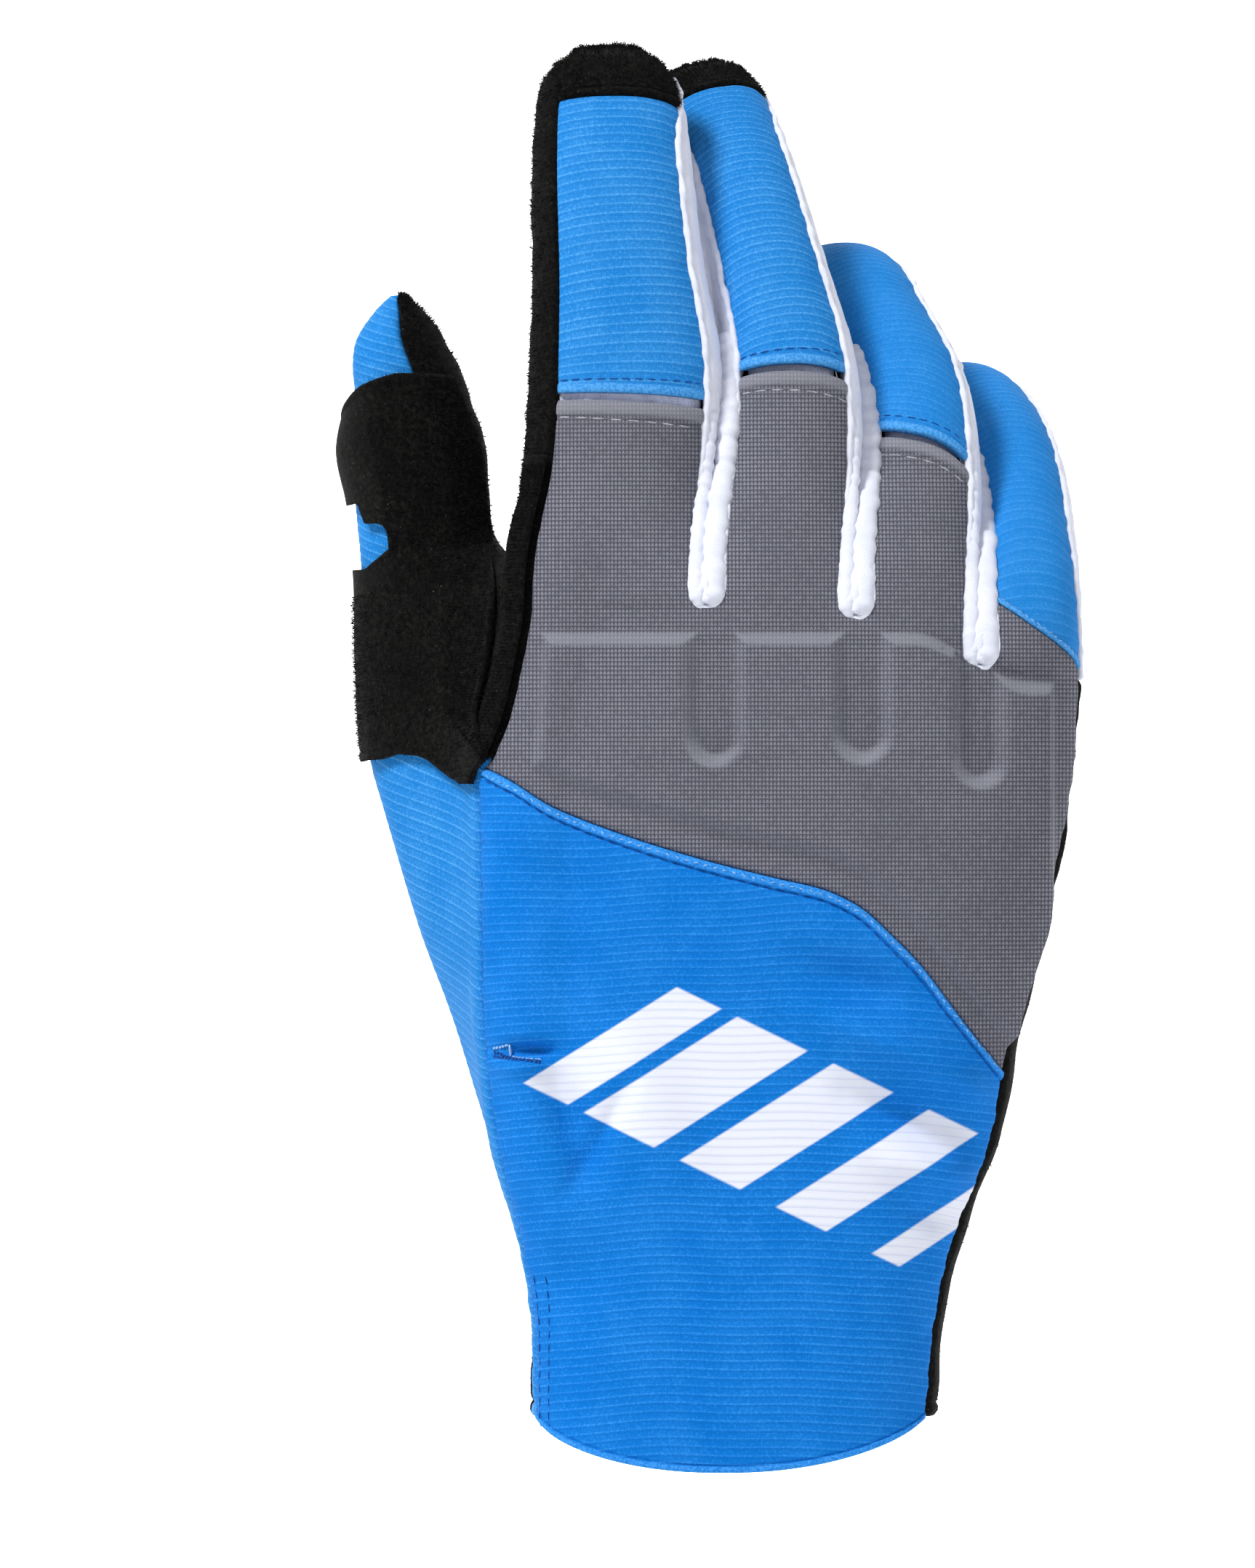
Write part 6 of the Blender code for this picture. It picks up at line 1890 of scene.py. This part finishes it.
@dataclass
class FingerSides:
    """The white strips between the fingers and along the little finger's outer side."""

    hand: Hand
    rows: int = 150
    columns: int = 26
    fullness: float = 0.55 * MM
    piping_radius: float = 0.62 * MM
    fold_height: float = 46.0 * MM
    left_fold: float = 1.35 * MM
    right_fold: float = 2.1 * MM
    # Each gather: its start's and end's height in millimetres, then how far across the channel both are
    gathers: tuple[tuple[float, ...], ...] = (
        (0.7, 6.5, 0.5, 0.44), (2.2, 5.6, 0.22, 0.60), (1.6, 4.2, 0.70, 0.42),
    )

    def build(self) -> list[bpy.types.Object]:
        """Builds the four strips and the rolled edge along each."""
        hand = self.hand
        across = np.linspace(0, 1, self.columns)
        rows = np.linspace(0, 1, self.rows) ** 1.15 * hand.tip_join
        pieces = []
        for name, after in zip(FINGERS, FINGERS[1:]):
            down = hand.right_side(name, rows, across)[::-1]
            up = hand.left_side(after, rows, across)[:, ::-1]
            strip = Field.lay(np.concatenate([down, up[1:]])[:, ::-1])
            self.crease(strip, FINGERS.index(name))
            pieces.append(Panel(f"fourchette_{name}_{after}", [strip], WHITE, even_out=8).build())
            pieces.append(self.piping(name, after))
            pieces += self.folds(name, after)
        strip = Field.lay(hand.right_side("pinky", hand.pinky_right_rows(rows), across))
        self.crease(strip, 3)
        pieces.append(Panel("pinky_side_strip", [strip], WHITE, even_out=2).build())
        pieces.append(self.piping("pinky", None))
        return pieces

    def crease(self, strip: Field, number: int) -> None:
        """Sews a strip's edges and gives it fine cross-wrinkles."""
        strip.sewn(("left", "right"), depth=0.35 * MM, width=0.9 * MM, pucker=0.2 * MM)
        distance = edge_distances(strip.points)
        strip.relief += 0.08 * MM * wander(distance["bottom"] + 0.6 * distance["left"], 5.2 * MM, number)
        inside = ease(np.minimum(distance["left"], distance["right"]) / (2.5 * MM))
        strip.relief += self.fullness * inside
        if number < 3:
            middle = (len(strip.points) - 1) / 2
            from_fork = np.abs(np.arange(len(strip.points)) - middle)[:, None] / middle
            strip.relief *= ease(from_fork / 0.06)

    def folds(self, name: str, after: str) -> list[bpy.types.Object]:
        """The two soft folds that fill the channel between two fingers and meet in a crease.

        Args:
            name: The finger on the left.
            after: The finger on the right.

        Returns:
            The narrow left fold and the wide right fold.
        """
        hand = self.hand
        height = np.linspace(0.05 * MM, self.fold_height, 240)
        free = ease((height - 0.55 * self.fold_height) / (0.4 * self.fold_height))
        left = hand.right_side(name, height / hand.lengths[name], np.array([0.0]))[:, 0]
        right = hand.left_side(after, height / hand.lengths[after], np.array([1.0]))[:, 0]
        across = right - left
        gap = np.linalg.norm(across, axis=1, keepdims=True)
        across /= np.maximum(gap, 1e-9)
        gap = gap[:, 0]
        half_left = np.minimum(0.3 * gap, self.left_fold)
        half_right = np.minimum(0.4 * gap, self.right_fold)
        deep = np.array([0.0, 1.0, 0.0])
        sunk = (0.35 * MM + 2.2 * MM * free)[:, None]
        lines = (left + across * (half_left - 0.45 * MM)[:, None] + deep * sunk,
                 right - across * (half_right - 0.45 * MM)[:, None] + deep * (sunk + 0.25 * MM))
        pieces = [
            Roll(f"channel_fold_{side}_{name}", line, WHITE, half, unevenness=0.12, flatness=0.8).build()
            for side, line, half in zip(("left", "right"), lines, (half_left, half_right))
        ]
        # At the bottom the cloth is gathered, which closes the crease
        for number, (start, end, from_left, to_left) in enumerate(self.gathers):
            rise = np.linspace(start, end, 24) * MM
            spot = [resample(edge, height, rise) for edge in (left, right)]
            share = np.linspace(from_left, to_left, 24)[:, None]
            line = mix(spot[0], spot[1], share) - deep * 0.1 * MM
            radius = np.minimum(0.9 * MM, 0.22 * np.linalg.norm(spot[1] - spot[0], axis=1))
            pieces.append(Roll(f"channel_gather_{number}_{name}", line, WHITE, radius, flatness=0.9).build())
        return pieces

    def piping(self, name: str, after: str | None) -> bpy.types.Object:
        """The rolled white edge along a seam: down one finger, round the fork and up the next.

        Args:
            name: The finger on the left.
            after: The next finger, or None at the little finger's outer side.

        Returns:
            The piping.
        """
        hand = self.hand
        rows = np.linspace(0, 1, 260) ** 1.1 * hand.tip_join
        if after is None:
            line = hand.right_side(name, hand.pinky_right_rows(rows), np.array([0.0]))[::-1, 0]
        else:
            down = hand.right_side(name, rows, np.array([0.0]))[::-1, 0]
            line = np.concatenate([down, hand.left_side(after, rows[1:], np.array([1.0]))[:, 0]])
        line = even_line(line, 0.35 * MM)
        fork = line[np.argmin(line[:, 2])] if after else line[0] - 99 * MM
        away = np.linalg.norm(line - fork, axis=1)
        free = ease((away - 12 * MM) / (22 * MM))
        line[:, 1] += 0.5 * MM * (1 - free)
        sway = 0.15 * MM * wander(away, 9.0 * MM, 1.0) * ease((away - 20 * MM) / (20 * MM))
        line = line + sway[:, None] * np.array([1.0, -0.4, 0.0])
        radius = self.piping_radius * mix(0.8, 1.0, free)
        return Roll(f"piping_{name}", line, WHITE, radius, unevenness=0.2).build()


@dataclass
class PalmSide:
    """The black suede palm and the palm side of each finger."""

    hand: Hand
    rows: int = 170
    side_columns: int = 16
    finger_columns: int = 24
    finger_rows: int = 130

    def build(self) -> list[bpy.types.Object]:
        """Builds the palm and the four finger fronts."""
        hand = self.hand
        share = between(hand.palm_forks, self.finger_columns)
        side = np.linspace(0, 1, self.side_columns + 1)
        rise = np.linspace(0, 1, self.rows)[:, None]
        right = hand.palm_point("right", side, hand.fork_ups[4] * hand.palm_length * rise)
        left = hand.palm_point("palm", share, hand.palm_top(share) * rise)
        palm = Field.lay(np.concatenate([right[:, :-1], left], 1))
        palm.sewn(("left", "right")).hemmed("bottom", 2.0 * MM)
        palm.sewn(("top",), depth=0.4 * MM)
        palm.relief += self.creases(palm.points)
        pieces = [Panel("palm", [palm], SUEDE).build()]
        across = np.linspace(0, 1, self.finger_columns + 1)
        for name in FINGERS:
            rows = np.linspace(0, 1, self.finger_rows)
            if name == "pinky":
                rows = mix(hand.pinky_right_rows(rows)[:, None], rows[:, None], across)
            front = Field.lay(hand.close_tip(name, hand.finger_front(name, rows, across)))
            fields = [front.sewn(("left", "bottom") if name == "index" else ("left", "right", "bottom"))]
            if name == "index":
                outer = Field.lay(hand.close_tip(name, hand.index_outer_side(rows, np.linspace(0, 1, 33))))
                fields.append(outer.sewn(("right",)))
            for part in fields:
                part.relief += 0.11 * MM * wander(part.points[..., 2] + 0.9 * part.points[..., 0], 11 * MM, 0.5)
            pieces.append(Panel(name + "_front", fields, SUEDE).build())
            Nap(name + "_front_nap", 8000 if name == "index" else 1500).build(pieces[-1])
        Nap("palm_nap", 3000).build(pieces[0])
        return pieces

    @staticmethod
    def creases(points: Array) -> Array:
        """The palm's soft creases, one under the fingers and one round the thumb's ball."""
        x, z = points[..., 0], points[..., 2]
        across = z - 98 * MM - 0.12 * x + 2 * MM * wander(x, 60 * MM, 1.0)
        round_thumb = np.hypot(x + 34 * MM, z - 62 * MM) - 38 * MM
        soft = 0.3 * MM * wander(z + 0.4 * x, 24 * MM, 3.0)
        return soft - 0.9 * MM * bell(across, 2.4 * MM) - 0.8 * MM * bell(round_thumb, 2.6 * MM)


@dataclass
class Thumb:
    """The thumb: blue back, black front, the notched patch over it and the strip along the hand's edge."""

    hand: Hand
    rows: int = 90
    side_columns: int = 30
    rib_pitch: float = 1.62 * MM
    rib_slope: float = 15.0
    rib_height: float = 0.06 * MM
    patch_around: tuple[float, float] = (1 / 6, 1.96)
    patch_edge: tuple[float, ...] = (0.10, 0.38, 0.46, 0.56, 0.66, 0.78, 0.90, 2.0)
    patch_bottom_up: tuple[float, ...] = (0.812, 0.814, 0.820, 0.817, 0.804, 0.790, 0.783, 0.783)
    patch_top_up: tuple[float, ...] = (1.235, 1.255, 1.262, 1.272, 1.281, 1.288, 1.294, 1.290)
    notch_around: float = 4 / 6
    notch_up: tuple[float, float] = (1.0755, 1.0985)
    notch_open: float = 0.010
    notch_flare: tuple[float, float] = (0.021, 0.026)
    patch_wall: float = 1.0 * MM
    layer_gap: float = 0.55 * MM
    point_width: float = 3.0 * MM
    binding_up: tuple[float, float] = (0.800, 1.185)
    binding_width: float = 4.6 * MM

    def build(self) -> list[bpy.types.Object]:
        """Builds the thumb's pieces and the edge strip."""
        return [self.back(), self.front(), self.patch(), self.binding()]

    def skin(self, part: str, across: Array, heights: Array) -> Array:
        """A grid of points of one part of the thumb's skin."""
        return self.hand.thumb_skin(part, across[None, :], np.asarray(heights)[:, None])

    def close_tip(self, points: Array) -> Array:
        """Rounds the thumb's open end off to a line from its front to its back."""
        ends = self.hand.thumb_skin("thumb_back", np.array([0.0, 1.0]), self.hand.thumb_top)
        return round_off(points, ends.mean(0), np.array([1.0, 0, 0]), np.array([0, 0, 1.0]), 0.2)

    def heights(self, low: float, count: int) -> Array:
        """Heights from low to the fork, then to the tip, closer together at the tip."""
        hand = self.hand
        fork = np.linspace(low, hand.palm_length, count)
        free = np.sin(math.pi / 2 * np.linspace(0, 1, count)) ** 1.05
        return np.concatenate([fork, mix(hand.palm_length, hand.thumb_top, free)[1:]])

    def back(self) -> bpy.types.Object:
        """The blue back of the thumb, down to the hem."""
        across = np.linspace(0, 1, 56)
        points = self.close_tip(self.skin("thumb_back", across, self.heights(0.0, 300)))
        climb = math.tan(math.radians(self.rib_slope)) * edge_distances(points)["right"]
        cloth = Field.lay(points, (points[..., 2] - climb) / self.rib_pitch)
        cloth.sewn(("left", "right")).hemmed("bottom", 2.0 * MM).ribbed(self.rib_height)
        return Panel("thumb_back", [cloth], BLUE).build()

    def front(self) -> bpy.types.Object:
        """The black front of the thumb and the web to the index finger."""
        hand = self.hand
        front_low = hand.thumb_front_end_up * hand.palm_length + self.point_width
        web_low = hand.web_end_up * hand.palm_length + 0.5 * self.point_width
        side = np.linspace(0, 1, self.side_columns)
        front_z, web_z = self.heights(front_low, self.rows), self.heights(web_low, self.rows)
        fork = web_z[:self.rows]
        free = self.heights(hand.palm_length, self.rows)[self.rows - 1:]
        fields = [
            Field.lay(self.close_tip(self.skin("thumb_front", side, front_z))).sewn(("right",)),
            Field.lay(self.close_tip(self.skin("neck", side, free))),
            Field.lay(self.close_tip(self.skin("web", side, web_z))).sewn(("left",)),
            Field.lay(hand.palm_point("edge", side, fork[:, None])).sewn(("right",)),
        ]
        for part in fields:
            part.relief += 0.11 * MM * wander(part.points[..., 2] - 0.9 * part.points[..., 0], 12 * MM, 4.0)
        panel = Panel("thumb_front", fields, SUEDE, weld=0.1 * MM, even_out=3).build()
        Nap("thumb_front_nap", 5000).build(panel)
        return panel

    def patch_point(self, around: Array, z: Array) -> Array:
        """A point of the skin under the patch; around counts the blue back as 1 and the web as 1 more."""
        on_back = self.hand.thumb_skin("thumb_back", np.clip(around, 0, 1), z)
        on_web = self.hand.thumb_skin("web", np.clip(around - 1, 0, 1), z)
        return np.where((around <= 1)[..., None], on_back, on_web)

    def patch(self) -> bpy.types.Object:
        """The notched patch over the thumb."""
        length = self.hand.palm_length
        left, right = self.patch_around
        outer = np.linspace(left, self.notch_around, 25)
        inner = np.linspace(self.notch_around, right, 61)
        low, high = (up * length for up in self.notch_up)

        # The notch has rounded inner corners and opens towards the patch's edge
        inward = (self.notch_around - outer) / (self.notch_around - left)
        opened = self.notch_open * np.sqrt(1 - (1 - np.clip(inward / 0.14, 0, 1)) ** 2)
        fallen = np.clip((inward - 0.03) / 0.33, 0, 1)
        notch_low = low - (0.25 * opened + self.notch_flare[0] * fallen) * length
        notch_high = high + (opened + self.notch_flare[1] * ease((inward - 0.28) / 0.12)) * length

        def stretch(around: Array, bottom: Array, top: Array, count: int) -> Field:
            """A field of the patch between two heights at each column."""
            rise = np.linspace(0, 1, count)[:, None]
            return Field.lay(self.patch_point(around, mix(bottom, top, rise)))

        edges = (self.patch_bottom_up, self.patch_top_up)
        ends = {
            name: [np.interp(around, self.patch_edge, up) * length for up in edges]
            for name, around in (("outer", outer), ("inner", inner))
        }
        fields = [
            stretch(inner, ends["inner"][0], low + 0 * inner, 80),
            stretch(inner, low + 0 * inner, high + 0 * inner, 24),
            stretch(inner, high + 0 * inner, ends["inner"][1], 60),
            stretch(outer, ends["outer"][0], notch_low, 80),
            stretch(outer, notch_high, ends["outer"][1], 60),
        ]
        for number, edge in ((0, "bottom"), (2, "top"), (3, "bottom"), (4, "top")):
            fields[number].hemmed(edge, 1.5 * MM, 0.2 * MM)
        panel = Panel("thumb_patch", fields, PERFORATED_SUEDE, wall=self.patch_wall,
                      raised=self.layer_gap + self.patch_wall, weld=0.16 * MM, even_out=6).build()
        Nap("thumb_patch_nap", 9000).build(panel)
        return panel

    def binding(self) -> bpy.types.Object:
        """The strip along the edge of the hand, up on to the index finger's outer side."""
        hand = self.hand
        rows = []
        low, high = self.binding_up
        for z in np.linspace(low, high, self.rows) * hand.palm_length:
            if z <= hand.palm_length:
                line = hand.palm_point("edge", np.linspace(0, 1, 41), z)
            else:
                above = (z - hand.palm_length) / hand.lengths["index"]
                line = hand.index_outer_side([above], np.linspace(0.5, 1, 41))[0]
            walk = walked(line)
            start = max(walk[-1] - self.binding_width, 0.1 * walk[-1])
            rows.append(resample(line, walk, np.linspace(start, walk[-1] - 0.2 * MM, 14)))
        strip = Field.lay(np.array(rows)).sewn(("left", "right", "top", "bottom"), depth=0.4 * MM)
        panel = Panel("side_binding", [strip], SUEDE, wall=self.patch_wall,
                      raised=self.layer_gap + self.patch_wall).build()
        Nap("side_binding_nap", 2500).build(panel)
        return panel


@dataclass
class Studio:
    """Pale floor and backdrop, soft lights and the camera."""

    view_height: float = 256.7 * MM
    aim: tuple[float, float] = (-17.6 * MM, 103.2 * MM)
    lens: float = 0.300
    film: float = 0.036
    floor_up: float = -150.0 * MM
    floor_size: float = 6.0
    sweep_radius: float = 0.8
    air: float = 0.44

    def build(self) -> None:
        """Sets up the floor, the lights and the camera."""
        self.add_camera()
        self.add_floor()
        self.add_light("key_softbox", (-1.0, -0.9, 1.5), 0.5, 38.0)
        self.add_light("side_softbox", (1.5, -0.3, 0.2), 0.6, 5.0)
        self.add_light("backdrop_softbox", (0.0, 1.2, 1.6), 1.6, 260.0, (0.0, 3.4, 0.3))
        world = bpy.data.worlds.new("pale_studio_air")
        bpy.context.scene.world = world
        world.use_nodes = True
        background = world.node_tree.nodes["Background"]
        background.inputs["Color"].default_value = linear("#FFFFFF")
        background.inputs["Strength"].default_value = self.air
        # Plain colour management, so that the cloths show the colours that they are given
        bpy.context.scene.view_settings.view_transform = "Standard"

    def add_camera(self) -> None:
        """The camera, far off and level, in front of the back of the hand."""
        camera = bpy.data.cameras.new("camera")
        camera.sensor_fit = "VERTICAL"
        camera.sensor_height = 1e3 * self.film
        camera.lens = 1e3 * self.lens
        away = self.view_height * self.lens / self.film
        camera.clip_end = 30.0
        holder = bpy.data.objects.new("camera", camera)
        holder.location = (self.aim[0], -away, self.aim[1])
        holder.rotation_euler = (math.pi / 2, 0, 0)
        bpy.context.scene.collection.objects.link(holder)
        bpy.context.scene.camera = holder

    def add_floor(self) -> None:
        """A floor whose far side sweeps up into a backdrop."""
        body = bmesh.new()
        half = self.floor_size / 2
        made = bmesh.ops.create_grid(body, x_segments=1, y_segments=1, size=half)
        bmesh.ops.translate(body, verts=made["verts"], vec=(0, 0, self.floor_up))
        far = [edge for edge in body.edges if all(vert.co.y > 0.99 * half for vert in edge.verts)]
        ends = far + [vert for edge in far for vert in edge.verts]
        swept = bmesh.ops.spin(body, geom=ends, cent=(0, half, self.floor_up + self.sweep_radius), axis=(1, 0, 0),
                               angle=math.pi / 2, steps=16, use_merge=False)
        last = only(bmesh.types.BMEdge, swept["geom_last"])
        top = only(bmesh.types.BMVert, bmesh.ops.extrude_edge_only(body, edges=last)["geom"])
        bmesh.ops.translate(body, verts=top, vec=(0, 0, self.floor_size / 2))
        bmesh.ops.recalc_face_normals(body, faces=body.faces[:])
        mesh = bpy.data.meshes.new("floor")
        body.to_mesh(mesh)
        body.free()
        material = bpy.data.materials.new("matt_white_studio_paper")
        material.use_nodes = True
        shader = material.node_tree.nodes["Principled BSDF"]
        shader.inputs["Base Color"].default_value = linear("#FAFAFA")
        shader.inputs["Roughness"].default_value = 0.9
        mesh.materials.append(material)
        mesh.shade_smooth()
        floor = bpy.data.objects.new("floor", mesh)
        bpy.context.scene.collection.objects.link(floor)

    def add_light(self, name: str, place: tuple[float, float, float], size: float, power: float,
                  target: tuple[float, float, float] = (0.0, 0.0, 0.0)) -> None:
        """A square soft light.

        Args:
            name: The light's name.
            place: Where it hangs, in metres from the glove's middle.
            size: The length of its sides.
            power: Its power in watts.
            target: What it is aimed at, in metres from the glove's middle.
        """
        light = bpy.data.lights.new(name, "AREA")
        light.shape, light.size, light.energy = "SQUARE", size, power
        holder = bpy.data.objects.new(name, light)
        middle = (CAD_LOW + CAD_HIGH) / 2
        holder.location = middle + Vector(place)
        holder.rotation_euler = (Vector(target) - Vector(place)).to_track_quat("-Z", "Y").to_euler()
        bpy.context.scene.collection.objects.link(holder)


def main() -> None:
    """Builds the studio and every piece of the glove."""
    logging.basicConfig(level=logging.INFO, format="%(name)s: %(message)s")
    Studio().build()
    hand = Hand()
    CuffBack(hand).build()
    KnucklePanel(hand).build()
    FingerBack(hand, "index", rib_pitch=1.5 * MM, rib_bow=0.35 * MM).build()
    FingerBack(hand, "middle", rib_pitch=1.36 * MM, rib_bow=1.1 * MM, gusset_sink=2.4 * MM).build()
    FingerBack(hand, "ring", rib_pitch=1.12 * MM, gusset_sink=2.4 * MM, knit=FAINT_BLUE).build()
    FingerBack(hand, "pinky", rib_pitch=1.28 * MM, knit=FAINT_BLUE).build()
    FingerSides(hand).build()
    PalmSide(hand).build()
    Thumb(hand).build()


if __name__ == "__main__":
    main()
